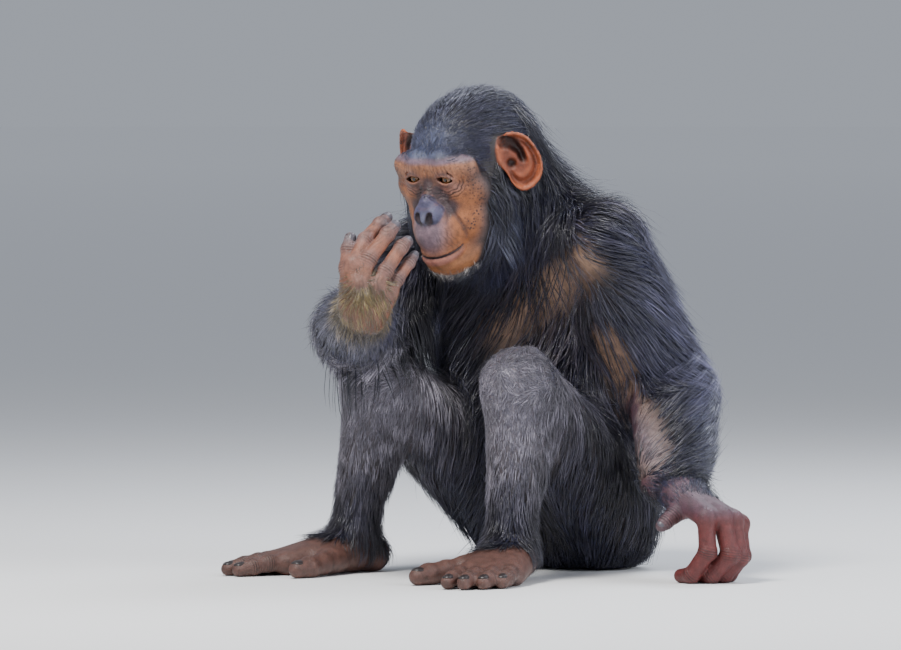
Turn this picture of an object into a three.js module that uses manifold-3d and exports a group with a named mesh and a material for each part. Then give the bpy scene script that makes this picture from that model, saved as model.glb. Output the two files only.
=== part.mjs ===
// A young chimpanzee sitting on the floor, life size: knees drawn up, right hand raised to its
// mouth, left arm propped on its knuckles. Millimetres, +Z up, facing -Y, its left side towards +X.
import * as THREE from "three";
import { mergeVertices } from "three/addons/utils/BufferGeometryUtils.js";
import Module from "manifold-3d";

const wasm = await Module();
wasm.setup();

// Driving dimensions
const SHOULDER_HEIGHT = 348;
const SHOULDER_HALF = 118;
const HIP_HEIGHT = 80;
const HIP_HALF = 58;
const KNEE_HEIGHT = 199;
const KNEE_HALF = 98;
const ANKLE_HEIGHT = 38;
const EAR_AXIS_HEIGHT = 426;
const HEAD_TURN = 8; // degrees to its left
const HEAD_BOW = 17.5; // degrees down
const VIEW_TURN = 42; // degrees round to its left of the side it is seen from
const FOOT_TURN = 22; // degrees outwards
const GAP = 0.35; // kept between neighbouring nodes
const CORE_COAT = 6; // depth of the dense underfur that the cores take in
const BIG = 1200; // side of the blocks that cut along a plane
const TRIM = 0.12; // slivers finer than this, left by the cuts, are merged away

const { sin, cos, sqrt, min, max, abs, PI } = Math;
const V = (x, y, z) => new THREE.Vector3(x, y, z);
const rad = THREE.MathUtils.degToRad;
const mix = THREE.MathUtils.lerp;

// A place as seen from the viewed side: how far across, how near, how high.
function seen(across, near, up) {
  const turn = rad(VIEW_TURN);
  return V(across * cos(turn) + near * sin(turn), across * sin(turn) - near * cos(turn), up);
}

// Joints
const SIDES = ["left", "right"];
const toLeft = { left: 1, right: -1 };
const shoulder = {
  left: V(SHOULDER_HALF, -58, SHOULDER_HEIGHT),
  right: V(-SHOULDER_HALF, -42, SHOULDER_HEIGHT - 8),
};
const elbow = { left: seen(128, 51, 187), right: seen(-212, 92, 252) };
const wrist = { left: seen(130, 197, 85), right: seen(-199, 258, 278) };
const hip = { left: V(HIP_HALF, -5, HIP_HEIGHT), right: V(-HIP_HALF, -5, HIP_HEIGHT) };
const knee = { left: V(KNEE_HALF, -169, KNEE_HEIGHT), right: V(-KNEE_HALF, -169, KNEE_HEIGHT) };
const ankle = { left: V(104, -188, ANKLE_HEIGHT), right: V(-110, -192, ANKLE_HEIGHT) };

// Distance fields: negative inside, in millimetres
const blend = (a, b, k) => {
  const h = max(k - abs(a - b), 0) / k;
  return min(a, b) - (h * h * k) / 4;
};
const bone = (a, b, ra, rb = ra) => {
  const ab = b.clone().sub(a);
  const square = ab.lengthSq();
  return (p) => {
    const ap = p.clone().sub(a);
    const t = min(1, max(0, ap.dot(ab) / square));
    return ap.addScaledVector(ab, -t).length() - mix(ra, rb, t);
  };
};
const lump = (centre, radii) => (p) => {
  const q = p.clone().sub(centre).divide(radii);
  const k0 = q.length();
  const k1 = q.divide(radii).length();
  return k1 > 1e-9 ? (k0 * (k0 - 1)) / k1 : -min(radii.x, radii.y, radii.z);
};
const together = (k, ...fields) => (p) => fields.reduce((d, f) => blend(d, f(p), k), 1e3);
const swollen = (field, by) => (p) => field(p) - by;
const gradient = (field, p, e = 0.5) =>
  V(
    field(V(p.x + e, p.y, p.z)) - field(V(p.x - e, p.y, p.z)),
    field(V(p.x, p.y + e, p.z)) - field(V(p.x, p.y - e, p.z)),
    field(V(p.x, p.y, p.z + e)) - field(V(p.x, p.y, p.z - e)),
  ).normalize();

// The head's own frame: l to its left, f forwards, u up, from the middle of the ear axis.
const headFrame = new THREE.Matrix4()
  .makeRotationFromEuler(new THREE.Euler(rad(HEAD_BOW), rad(1), rad(HEAD_TURN), "ZYX"))
  .setPosition(seen(-95.5, 103, EAR_AXIS_HEIGHT));
const headInverse = headFrame.clone().invert();
const L = (l, f, u) => V(l, -f, u);
const H = (l, f, u) => L(l, f, u).applyMatrix4(headFrame);
const inHead = (field) => (p) => field(p.clone().applyMatrix4(headInverse));

// Trunk
const trunkField = together(
  45,
  lump(V(0, 14, 80), V(92, 72, 82)),
  lump(V(46, 26, 46), V(46, 50, 50)),
  lump(V(-46, 26, 46), V(46, 50, 50)),
  lump(V(0, -10, 165), V(94, 80, 86)),
  lump(V(0, 0, 265), V(94, 76, 88)),
  lump(V(0, 34, 255), V(72, 50, 96)),
  bone(V(80, -44, 340), V(-80, -44, 340), 44),
);
const neckField = together(
  24,
  bone(V(0, -44, 350), H(0, -32, -10), 64, 60),
  bone(V(62, -48, 352), V(0, -64, 384), 38, 44),
  bone(V(-62, -48, 352), V(0, -64, 384), 38, 44),
);

// Head
const EYE = { l: 19.5, f: 57.5, u: 4.5, radius: 9.8 };
const both = (make) => [make(1), make(-1)];
const headField = inHead(
  together(
    12,
    lump(L(0, -18, 15), V(56, 75, 55)),
    lump(L(0, 24, -14), V(49, 40, 44)),
    lump(L(0, 40, -40), V(38, 34, 30)),
    lump(L(0, 57, -50), V(29.5, 31, 33)),
    lump(L(0, 52, -83), V(26, 27, 20)),
    lump(L(0, 20, -58), V(34, 34, 28)),
    bone(L(0, 62, 4), L(0, 76, -25), 6.5, 9),
    bone(L(-14, 60, 21), L(14, 60, 21), 9.5),
    ...both((s) => bone(L(14 * s, 60, 21), L(38 * s, 51, 15), 10, 9)),
    ...both((s) => bone(L(38 * s, 51, 15), L(41 * s, 46, -6), 8, 9)),
    ...both((s) => lump(L(31 * s, 30, -40), V(18, 24, 32))),
    ...both((s) => bone(L(26 * s, 51, -14), L(42 * s, 38, -13), 10.5, 12.5)),
    ...both((s) => bone(L(44 * s, 4, -36), L(22 * s, 40, -80), 15, 14)),
    ...both((s) => lump(L(EYE.l * s, EYE.f - 1, EYE.u), V(13, 11, 11))),
    lump(L(0, 75.5, -17), V(8.5, 9, 8)),
    lump(L(0, 74.5, -28), V(16, 12, 10.5)),
  ),
);
const MOUTH = { from: L(0, 44, -76), spread: 55, rise: 6.5, tilt: 3 };
function mouthPoint(share) {
  const turn = rad(MOUTH.spread) * share;
  const way = V(sin(turn), -cos(turn), 0).transformDirection(headFrame);
  const up = MOUTH.rise * share * share + MOUTH.tilt * share;
  const from = MOUTH.from.clone().add(V(0, 0, up)).applyMatrix4(headFrame);
  return hit(headField, from, way);
}
// The coat's core is thin to nothing on the bare face, from the brow's top down to the chin.
const BARE_FACE = { back: 42, top: 26 };
const coated = (field, depth) => (p) => {
  const { y, z } = p.clone().applyMatrix4(headInverse);
  const edge = BARE_FACE.back + 7 * ((z + 35) / 50) ** 2;
  const haired = max(edge + y, z - BARE_FACE.top);
  return field(p) - depth * THREE.MathUtils.smoothstep(haired, -4, 12);
};

// Limbs
const mixed = (a, b, t) => a.clone().lerp(b, t);
const along = (a, b) => b.clone().sub(a).normalize();
const limbField = {};
for (const side of SIDES) {
  const elbowBack = elbow[side].clone().add(V(0, 6, -4));
  const calf = V(0, 15, 0);
  limbField[side] = {
    upper_arm: together(
      14,
      bone(shoulder[side], elbow[side], 38, 28),
      bone(shoulder[side], elbowBack, 30, 25),
    ),
    forearm: together(
      14,
      bone(elbow[side], wrist[side], 28, 20),
      bone(mixed(elbow[side], wrist[side], 0.12), mixed(elbow[side], wrist[side], 0.5), 32, 27),
    ),
    thigh: together(
      14,
      bone(hip[side], knee[side], 58, 36),
      bone(hip[side].clone().add(V(0, 10, -18)), knee[side], 52, 32),
    ),
    shin: together(
      14,
      bone(knee[side], ankle[side], 35, 22),
      bone(
        mixed(knee[side], ankle[side], 0.2).add(calf),
        mixed(knee[side], ankle[side], 0.6).add(calf),
        29,
        22,
      ),
    ),
  };
}

// A closed surface laid over a field along a straight axis, by rays that leave the axis.
function wrap(field, a, b, options) {
  const { sides, turns, stations, fans = [-60, -30], endFans = [30, 60], aim = V(0, -1, 0) } = options;
  const axis = b.clone().sub(a).normalize();
  const front = aim.clone().addScaledVector(axis, -aim.dot(axis)).normalize();
  const across = axis.clone().cross(front);
  const angles = turns ?? Array.from({ length: sides }, (_, i) => (360 * i) / sides);
  const points = [hit(field, a, axis.clone().negate())];
  const ring = (origin, elevation) => {
    for (const turn of angles) {
      const flat = front.clone().multiplyScalar(cos(rad(turn))).addScaledVector(across, sin(rad(turn)));
      const way = flat.multiplyScalar(cos(rad(elevation))).addScaledVector(axis, sin(rad(elevation)));
      points.push(hit(field, origin, way.normalize()));
    }
  };
  fans.forEach((e) => ring(a, e));
  stations.forEach((t) => ring(mixed(a, b, t), 0));
  endFans.forEach((e) => ring(b, e));
  points.push(hit(field, b, axis));
  return closedRings(points, angles.length);
}
function hit(field, origin, way) {
  let t = 0;
  for (let step = 0; step < 90; step++) {
    const d = field(origin.clone().addScaledVector(way, t));
    if (d > -0.01) break;
    t -= d * 0.85;
  }
  return origin.clone().addScaledVector(way, t);
}

// A first pole, rings of n points and a last pole, as one closed solid.
function closedRings(points, n) {
  const rings = (points.length - 2) / n;
  const at = (ring, i) => 1 + ring * n + (((i % n) + n) % n);
  const faces = [];
  for (let i = 0; i < n; i++) faces.push(0, at(0, i + 1), at(0, i));
  for (let r = 0; r + 1 < rings; r++)
    for (let i = 0; i < n; i++) {
      faces.push(at(r, i), at(r, i + 1), at(r + 1, i));
      faces.push(at(r, i + 1), at(r + 1, i + 1), at(r + 1, i));
    }
  for (let i = 0; i < n; i++) faces.push(at(rings - 1, i), at(rings - 1, i + 1), points.length - 1);
  return solidOf(points, faces);
}
function solidOf(points, faces) {
  const vertProperties = new Float32Array(points.flatMap((p) => [p.x, p.y, p.z]));
  const made = new wasm.Manifold(
    new wasm.Mesh({ numProp: 3, vertProperties, triVerts: new Uint32Array(faces) }),
  );
  if (made.volume() > 0) return made;
  const turned = faces.map((_, i) => faces[i - (i % 3) + (2 - (i % 3))]);
  return new wasm.Manifold(
    new wasm.Mesh({ numProp: 3, vertProperties, triVerts: new Uint32Array(turned) }),
  );
}
function solidFrom(geometry) {
  const bare = geometry.clone();
  bare.deleteAttribute("normal");
  bare.deleteAttribute("uv");
  const merged = mergeVertices(bare, 1e-4);
  return new wasm.Manifold(
    new wasm.Mesh({
      numProp: 3,
      vertProperties: merged.attributes.position.array,
      triVerts: new Uint32Array(merged.index.array),
    }),
  );
}

// A round-ended tube through a few joints, for digits.
function tube(joints, radii, sides, { steps = 2, grow = 0 } = {}) {
  const line = new THREE.CatmullRomCurve3(joints, false, "centripetal");
  const count = (joints.length - 1) * steps;
  const rings = Array.from({ length: count + 1 }, (_, i) => {
    const k = min(joints.length - 2, Math.floor(i / steps));
    const r = mix(radii[k], radii[k + 1], i / steps - k) + grow;
    return { at: line.getPoint(i / count), way: line.getTangent(i / count), r };
  });
  const first = rings[0];
  const last = rings[count];
  const cap = (end, share) => ({
    at: end.at.clone().addScaledVector(end.way, share * end.r),
    way: end.way,
    r: end.r * sqrt(1 - share * share),
  });
  const all = [cap(first, -0.8), ...rings, cap(last, 0.55), cap(last, 0.87)];
  const points = [first.at.clone().addScaledVector(first.way, -first.r)];
  let across = abs(first.way.z) < 0.7 ? V(0, 0, 1) : V(1, 0, 0);
  for (const { at, way, r } of all) {
    across = across.clone().addScaledVector(way, -across.dot(way)).normalize();
    const high = across.clone().cross(way);
    for (let i = 0; i < sides; i++) {
      const turn = (2 * PI * i) / sides;
      points.push(at.clone().addScaledVector(across, r * cos(turn)).addScaledVector(high, r * sin(turn)));
    }
  }
  points.push(last.at.clone().addScaledVector(last.way, last.r));
  return closedRings(points, sides);
}

// Everything on the far side of a plane, as a block to take away.
function beyond(point, normal, offset = 0) {
  const n = normal.clone().normalize();
  const block = new THREE.BoxGeometry(BIG, BIG, BIG);
  block.applyQuaternion(new THREE.Quaternion().setFromUnitVectors(V(0, 0, 1), n));
  const middle = point.clone().addScaledVector(n, BIG / 2 + offset);
  return solidFrom(block.translate(middle.x, middle.y, middle.z));
}
const belowFloor = beyond(V(0, 0, 0), V(0, 0, -1));

const largest = (solid) => {
  const pieces = solid.decompose();
  return pieces.reduce((best, piece) => (piece.volume() > best.volume() ? piece : best));
};

const root = new THREE.Group();
function add(name, solid, colour, roughness) {
  const kept = largest(solid.subtract(belowFloor).simplify(TRIM));
  const { vertProperties, triVerts, numProp, numVert } = kept.getMesh();
  const position = new Float32Array(numVert * 3);
  for (let i = 0; i < numVert; i++) position.set(vertProperties.subarray(i * numProp, i * numProp + 3), i * 3);
  const geometry = new THREE.BufferGeometry();
  geometry.setAttribute("position", new THREE.BufferAttribute(position, 3));
  geometry.setIndex(new THREE.BufferAttribute(triVerts, 1));
  const mesh = new THREE.Mesh(geometry, new THREE.MeshStandardMaterial({ color: colour, roughness }));
  mesh.name = name;
  root.add(mesh);
  return kept;
}
const FUR = 0x16141a;
const SKIN = 0xb97a58;
const COAT_ROUGH = 0.6;
const SKIN_ROUGH = 0.55;
const IRIS = 0x5a3518;

const placed = [];
const apart = (solid) => placed.reduce((left, taken) => left.subtract(taken), solid);
function node(name, make, colour = FUR, roughness = COAT_ROUGH) {
  add(name, apart(make(0)), colour, roughness);
  placed.push(make(GAP));
}
const evenly = (n, from = 0, to = 1) => Array.from({ length: n }, (_, i) => mix(from, to, i / (n - 1)));

// The long hair lies in flat, tapered locks, each rooted in the core and bent along the body.
let seed = 7;
const random = () => {
  seed = (seed * 16807) % 2147483647;
  return seed / 2147483647;
};
const vary = (size, share) => size * (1 + share * (2 * random() - 1));
const LOCK_STEPS = 4;
const LOCK_ROOT = -9; // how deep below the core's surface a lock begins
const LOCK_THICK = 5;
const clothed = [coated(headField, CORE_COAT), trunkField, neckField].concat(
  ...SIDES.map((side) => Object.values(limbField[side])),
);
const body = (p) => clothed.reduce((d, field, i) => blend(d, field(p) - (i ? CORE_COAT : 0), 14), 1e3);
function lockPath({ start, flow, length, lift, swerve }) {
  let at = start.clone();
  return Array.from({ length: LOCK_STEPS + 1 }, (_, i) => {
    const share = i / LOCK_STEPS;
    for (let k = 0; k < 3; k++) at.addScaledVector(gradient(body, at), -body(at));
    const out = gradient(body, at);
    const aim = flow(at);
    const way = aim.addScaledVector(out, -aim.dot(out)).normalize();
    way.applyAxisAngle(out, swerve * (1 - share));
    const centre = at.clone().addScaledVector(out, mix(LOCK_ROOT, lift, share ** 0.34));
    at = at.clone().addScaledVector(way, length / LOCK_STEPS);
    return { centre, out };
  });
}
// True where nothing else of the body stands close above a point of a lock.
const isOpen = ({ centre, out }) => body(centre.clone().addScaledVector(out, 18)) > 8;
function lock(spec, grow) {
  const path = spec.path;
  const rooted = path[0].centre;
  const points = [rooted.clone().addScaledVector(along(path[1].centre, rooted), 4 + grow)];
  path.slice(0, -1).forEach(({ centre, out: surfaceOut }, i) => {
    const share = i / LOCK_STEPS;
    const way = along(path[max(i - 1, 0)].centre, path[i + 1].centre);
    const across = way.clone().cross(surfaceOut).normalize();
    const out = across.clone().cross(way);
    const half = 0.5 * spec.width * (0.7 + 0.5 * sin(PI * share)) * (1 - 0.5 * share) + grow;
    const thick = 0.5 * LOCK_THICK * (1 - 0.4 * share) + grow;
    points.push(centre.clone().addScaledVector(across, -half));
    points.push(centre.clone().addScaledVector(out, thick));
    points.push(centre.clone().addScaledVector(across, half));
    points.push(centre.clone().addScaledVector(out, -thick));
  });
  const tip = path[LOCK_STEPS].centre;
  const before = path[LOCK_STEPS - 1].centre;
  points.push(tip.clone().addScaledVector(along(before, tip), grow * 4));
  return closedRings(points, 4);
}
// Rows of locks round an axis: each begins where a ray from the axis leaves the body.
function combed(field, from, to, rows, aim, flow, { length, width, lift }) {
  const axis = along(from, to);
  const front = aim.clone().addScaledVector(axis, -aim.dot(axis)).normalize();
  const across = axis.clone().cross(front);
  const specs = [];
  for (const { share, start, end, count, scale = 1 } of rows)
    for (let i = 0; i < count; i++) {
      const turn = rad(mix(start, end, count > 1 ? i / (count - 1) : 0.5) + 8 * (random() - 0.5));
      const way = front.clone().multiplyScalar(cos(turn)).addScaledVector(across, sin(turn));
      const origin = mixed(from, to, share + 0.04 * (random() - 0.5));
      const spec = {
        start: hit(field, origin, way),
        flow,
        length: vary(length * scale, 0.15),
        width: vary(width, 0.15),
        lift: vary(lift * scale, 0.2),
        swerve: rad(14) * (2 * random() - 1),
      };
      const path = lockPath(spec);
      const span = path[0].centre.distanceTo(path[LOCK_STEPS].centre);
      if (path.every(isOpen) && span > 0.84 * spec.length) specs.push({ ...spec, path });
    }
  return specs;
}
const withLocks = (core, specs) => (grow) =>
  largest(wasm.Manifold.union([core(grow), ...specs.map((spec) => lock(spec, grow))]));

// Eyeballs
const eyeball = (s, grow) => {
  const ball = new THREE.SphereGeometry(EYE.radius + grow, 12, 8);
  const at = H(EYE.l * s, EYE.f, EYE.u);
  return solidFrom(ball.translate(at.x, at.y, at.z));
};
for (const side of SIDES)
  node("eye_" + side, (grow) => eyeball(toLeft[side], grow), IRIS, 0.15);

// Head: lids over the eyeballs, nostrils and the line of the mouth cut in
const oval = (centre, radii, turn = 0, sides = 12) => {
  const shape = new THREE.SphereGeometry(1, sides, sides / 2);
  shape.scale(radii.x, radii.y, radii.z).rotateY(turn).translate(centre.x, centre.y, centre.z);
  return solidFrom(shape.applyMatrix4(headFrame));
};
const FACE_TURNS = [...evenly(21, -75, 75), ...evenly(6, 104, 256)];
function head(grow) {
  const whole = wrap(swollen(coated(headField, CORE_COAT), grow), H(0, 38, -66), H(0, 10, 12), {
    turns: FACE_TURNS,
    aim: H(0, 1, 0).sub(H(0, 0, 0)),
    stations: evenly(13),
    fans: [-74, -56, -40, -26, -12],
    endFans: [12, 26, 42, 60],
  });
  if (grow > 0) return whole;
  const cuts = [
    ...both((s) => oval(L(EYE.l * s, EYE.f + 11, EYE.u), V(8.8, 9, 3.6), rad(-6 * s))),
    ...both((s) => oval(L(5.3 * s, 90, -33), V(2.8, 6, 4.4), rad(12 * s), 8)),
    tube(evenly(9, -1, 1).map((share) => mouthPoint(share)), Array(9).fill(1.5), 4, { steps: 1 }),
  ];
  return cuts.reduce((left, cut) => left.subtract(cut), whole);
}

const headFlow = (p) => {
  const { x, y, z } = p.clone().applyMatrix4(headInverse);
  const drop = 0.25 + THREE.MathUtils.smoothstep(y, 10, 70) * 1.2 + THREE.MathUtils.smoothstep(-z, -5, 40) * 1.4;
  return L(x * 0.004, -1, -drop).transformDirection(headFrame);
};
const headLocks = combed(
  coated(headField, CORE_COAT),
  H(0, 10, -60),
  H(0, -16, 20),
  [
    { share: 1, start: 62, end: 298, count: 9 },
    { share: 0.62, start: 62, end: 298, count: 8 },
    { share: 0.25, start: 58, end: 302, count: 6 },
  ],
  H(0, 1, 0).sub(H(0, 0, 0)),
  headFlow,
  { length: 58, width: 28, lift: 10 },
);
node("head", withLocks(head, headLocks), SKIN, SKIN_ROUGH);

// Ears: a cup with a rolled rim, held out from the side of the head
const EAR_EDGE = [[2, 24], [13, 37], [28, 34], [42, 19], [50, 0], [44, -17], [26, -26], [13, -12], [3, 8]];
const EAR_MIDDLE = [25, 5];
const EAR_SIDES = 16;
const EAR_FLARE = rad(50);
const EAR_ROOT = { l: 49, f: 18, u: 1 };
const EAR_RINGS = [
  [0.3, -8], [0.6, -6], [0.8, -2], [0.93, 1.6],
  [1, 0.4], [0.95, -2.2], [0.7, -5.5], [0.35, -11],
];
function ear(s, grow) {
  const out = L(sin(EAR_FLARE) * s, -cos(EAR_FLARE), 0);
  const face = L(cos(EAR_FLARE) * s, sin(EAR_FLARE), 0);
  const edge = new THREE.CatmullRomCurve3(EAR_EDGE.map(([x, y]) => V(x, y, 0)), true);
  const middle = V(...EAR_MIDDLE, 0);
  const at = (flat, depth) =>
    L(EAR_ROOT.l * s, EAR_ROOT.f, EAR_ROOT.u)
      .addScaledVector(out, flat.x)
      .addScaledVector(face, depth)
      .add(V(0, 0, flat.y))
      .applyMatrix4(headFrame);
  const points = [at(middle, -8.5 + grow)];
  EAR_RINGS.forEach(([share, depth], ring) => {
    for (let i = 0; i < EAR_SIDES; i++) {
      const rim = edge.getPoint(i / EAR_SIDES);
      const flat = middle.clone().lerp(rim, share * (1 + grow / 26));
      points.push(at(flat, depth + (ring < 4 ? grow : -grow)));
    }
  });
  points.push(at(middle, -12.5 - grow));
  return closedRings(points, EAR_SIDES);
}
for (const side of SIDES) node("ear_" + side, (grow) => ear(toLeft[side], grow), SKIN, SKIN_ROUGH);

// Trunk and neck
const trunkShape = { sides: 20, stations: evenly(7), fans: [-70, -46, -22], endFans: [26, 54] };
const trunk = (grow) => wrap(swollen(trunkField, CORE_COAT + grow), V(0, 15, 70), V(0, -25, 335), trunkShape);
const trunkFlow = (p) => V(p.x * 0.002, 0.15, -1);
const trunkLocks = combed(
  swollen(trunkField, CORE_COAT),
  V(0, 15, 70),
  V(0, -25, 335),
  [
    { share: 1, start: 122, end: 238, count: 5 },
    { share: 0.78, start: 108, end: 252, count: 6 },
    { share: 0.54, start: 98, end: 262, count: 6 },
    { share: 0.3, start: 118, end: 242, count: 5 },
    { share: 0.95, start: -50, end: 50, count: 3, scale: 0.7 },
  ],
  V(0, -1, 0),
  trunkFlow,
  { length: 86, width: 42, lift: 15 },
);
node("torso", withLocks(trunk, trunkLocks));
const neckShape = { sides: 18, stations: evenly(4), fans: [-55, -25], endFans: [40] };
const neck = (grow) => wrap(swollen(neckField, CORE_COAT + grow), V(0, -56, 372), H(0, -30, -14), neckShape);
const neckLocks = combed(
  swollen(neckField, CORE_COAT),
  V(0, -56, 372),
  H(0, -30, -14),
  [
    { share: 0.75, start: 75, end: 285, count: 7 },
    { share: 0.35, start: 65, end: 295, count: 7 },
  ],
  V(0, -1, 0),
  (p) => V(p.x * 0.006, 0.5, -0.7),
  { length: 78, width: 36, lift: 20 },
);
node("neck", withLocks(neck, neckLocks));

// Arms and legs
const limbShape = { sides: 12, stations: evenly(5) };
const COMB = {
  upper_arm: { rows: [0.08, 0.36, 0.64], count: 5, start: 53, end: 305, length: 78, width: 36, lift: 15, down: 0.3 },
  forearm: { rows: [0.14, 0.5], count: 4, start: 60, end: 300, length: 70, width: 28, lift: 12, down: 0.2 },
  thigh: { rows: [0.35, 0.66], count: 4, start: 80, end: 280, length: 62, width: 34, lift: 11, down: 0.5 },
  shin: { rows: [0.22, 0.55], count: 4, start: 80, end: 280, length: 56, width: 28, lift: 9, down: 0.3 },
};
function segment(name, side, from, to, cut) {
  const field = limbField[side][name];
  const comb = COMB[name];
  const aim = V(0, name === "shin" ? -1 : 1, 0).addScaledVector(V(-toLeft[side], 0, 0), 0.8);
  const inward = aim.multiplyScalar(name.includes("arm") ? -1 : 1);
  const way = along(from, to).add(V(0, 0, -comb.down));
  const rows = comb.rows.map((share) => ({ share, start: comb.start, end: comb.end, count: comb.count }));
  const specs = combed(swollen(field, CORE_COAT), from, to, rows, inward, () => way.clone(), comb);
  const core = (grow) => wrap(swollen(field, CORE_COAT + grow), from, to, limbShape).subtract(beyond(to, cut, grow));
  node(name + "_" + side, withLocks(core, specs));
}
for (const side of SIDES) {
  const upper = along(shoulder[side], elbow[side]);
  const lower = along(elbow[side], wrist[side]);
  const thigh = along(hip[side], knee[side]);
  const shin = along(knee[side], ankle[side]);
  segment("upper_arm", side, shoulder[side], elbow[side], upper.clone().add(lower));
  segment("forearm", side, elbow[side], wrist[side], lower);
  segment("thigh", side, hip[side], knee[side], thigh.clone().add(shin));
  segment("shin", side, knee[side], ankle[side], shin);
}

// Hands: the places of the joints, knuckle to tip, seen from the viewed side
const FINGERS = ["index", "middle", "ring", "little"];
const fingerJoints = {
  right: {
    index: [seen(-208, 262, 326), seen(-197, 247, 350), seen(-182, 228, 366), seen(-175, 214, 372)],
    middle: [seen(-202, 266, 306), seen(-193, 263, 331), seen(-174, 246, 356), seen(-167, 232, 364)],
    ring: [seen(-186, 264, 304), seen(-176, 261, 319), seen(-160, 245, 343), seen(-154, 230, 348)],
    little: [seen(-173, 257, 297), seen(-164, 253, 310), seen(-152, 240, 327), seen(-147, 228, 334)],
  },
  left: {
    index: [V(283, -90, 68), V(286, -91, 33), V(268, -95, 9), V(252, -93, 7.4)],
    middle: [V(288, -72, 68), V(299.6, -71, 30), V(281, -79, 8.8), V(264, -77, 7.6)],
    ring: [V(288, -54, 64), V(299.7, -57, 26), V(285, -64, 8.2), V(268, -63, 7)],
    little: [V(284, -38, 59), V(293, -43, 27), V(280, -49, 7.6), V(265, -49, 6.6)],
  },
};
const thumbJoints = {
  right: [seen(-209, 256, 292), seen(-215, 250, 322), seen(-214, 245, 341), seen(-212, 239, 352)],
  left: [V(243, -76, 78), V(240, -92, 68), V(238, -100, 62), V(236, -105, 58)],
};
const FINGER_GIRTH = { index: 8.4, middle: 9, ring: 8.5, little: 7.2 };
for (const side of SIDES) {
  const knuckles = FINGERS.map((f) => fingerJoints[side][f][0]);
  const heel = wrist[side];
  const across = along(knuckles[0], knuckles[3]);
  const rootOf = (i) => heel.clone().addScaledVector(across, 9 * (i - 1.5));
  const bones = knuckles.map((knuckle, i) => bone(rootOf(i), knuckle, 13, 10.5));
  const thumbMiddle = mixed(thumbJoints[side][0], thumbJoints[side][1], 0.5);
  const thenar = bone(heel.clone().addScaledVector(across, -12), thumbMiddle, 12, 9);
  const palm = together(8, ...bones, thenar);
  const end = mixed(knuckles[1], knuckles[2], 0.5);
  const shape = { sides: 14, stations: evenly(5), fans: [-50], endFans: [25, 50], aim: across };
  node("hand_" + side, (grow) => wrap(swollen(palm, grow), heel, end, shape), SKIN, SKIN_ROUGH);
  for (const finger of FINGERS) {
    const [k, ...rest] = fingerJoints[side][finger];
    const girth = FINGER_GIRTH[finger];
    const start = mixed(k, heel, 0.3);
    const radii = [girth, girth, girth, girth * 0.92, girth * 0.8];
    node(finger + "_" + side, (grow) => tube([start, k, ...rest], radii, 7, { grow }), SKIN, SKIN_ROUGH);
  }
  const thumb = (grow) => tube(thumbJoints[side], [10, 8.4, 7.4, 6.4], 8, { grow });
  node("thumb_" + side, thumb, SKIN, SKIN_ROUGH);
}

// Feet: flat on the floor, turned outwards
const TOES = ["second", "third", "fourth", "fifth"];
const TOE_ROOT = { second: [84, -16], third: [88, 1], fourth: [82, 16], fifth: [70, 28] };
for (const side of SIDES) {
  const s = toLeft[side];
  const turn = rad(FOOT_TURN);
  const place = (forward, outward, up) =>
    V(
      ankle[side].x + s * (sin(turn) * forward + cos(turn) * outward),
      ankle[side].y - cos(turn) * forward + sin(turn) * outward,
      up,
    );
  const rays = TOES.map((toe) =>
    bone(place(5, TOE_ROOT[toe][1] * 0.4, 24), place(...TOE_ROOT[toe], 12), 19, 12.5),
  );
  const foot = together(
    10,
    ...rays,
    bone(place(-20, 0, 18), place(-2, 0, 26), 19, 20),
    bone(place(0, 0, 28), ankle[side], 20, 22),
    bone(place(12, -8, 20), place(44, -32, 15), 17, 14),
  );
  const shape = { sides: 16, stations: evenly(6), aim: V(0, 0, 1) };
  const sole = (grow) => wrap(swollen(foot, grow), place(-16, 0, 21), place(80, 4, 13), shape);
  node("foot_" + side, sole, SKIN, SKIN_ROUGH);
  const outstretched = { second: 56, third: 56, fourth: 50, fifth: 43 };
  for (const toe of TOES) {
    const [forward, outward] = TOE_ROOT[toe];
    const reach = outstretched[toe];
    const joints = [
      place(forward - 12, outward * 0.96, 13),
      place(forward + reach * 0.4, outward * 1.06, 13),
      place(forward + reach * 0.72, outward * 1.1, 10),
      place(forward + reach, outward * 1.1, 7.2),
    ];
    const radii = [9, 8.6, 8.4, 7.4];
    node("toe_" + toe + "_" + side, (grow) => tube(joints, radii, 6, { grow }), SKIN, SKIN_ROUGH);
  }
  const bigToe = [place(36, -30, 15), place(60, -48, 13), place(80, -60, 10.5), place(96, -66, 9)];
  node("toe_big_" + side, (grow) => tube(bigToe, [12, 11, 11, 9.2], 8, { grow }), SKIN, SKIN_ROUGH);
}

export default root;
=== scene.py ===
import math

import bpy
import numpy as np
import openvdb
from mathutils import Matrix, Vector


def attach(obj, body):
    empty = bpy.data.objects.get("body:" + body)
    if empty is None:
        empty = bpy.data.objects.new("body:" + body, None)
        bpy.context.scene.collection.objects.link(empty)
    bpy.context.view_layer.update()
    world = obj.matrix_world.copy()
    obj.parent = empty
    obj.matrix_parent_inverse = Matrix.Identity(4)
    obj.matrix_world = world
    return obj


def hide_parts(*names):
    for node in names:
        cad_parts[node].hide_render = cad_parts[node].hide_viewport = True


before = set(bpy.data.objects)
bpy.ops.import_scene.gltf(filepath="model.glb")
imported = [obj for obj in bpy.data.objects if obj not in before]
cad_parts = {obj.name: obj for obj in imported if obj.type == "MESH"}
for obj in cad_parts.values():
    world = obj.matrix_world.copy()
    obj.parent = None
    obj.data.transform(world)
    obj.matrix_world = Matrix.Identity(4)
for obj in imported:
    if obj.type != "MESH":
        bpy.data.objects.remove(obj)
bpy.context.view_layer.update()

# View. The animal is seen from the front left quarter, almost level, through a long lens, so the
# picture hardly narrows with distance. One pixel of the picture is 1.05 mm at the animal's middle.
MM = 0.001
VIEW_TURN = math.radians(42)
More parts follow.
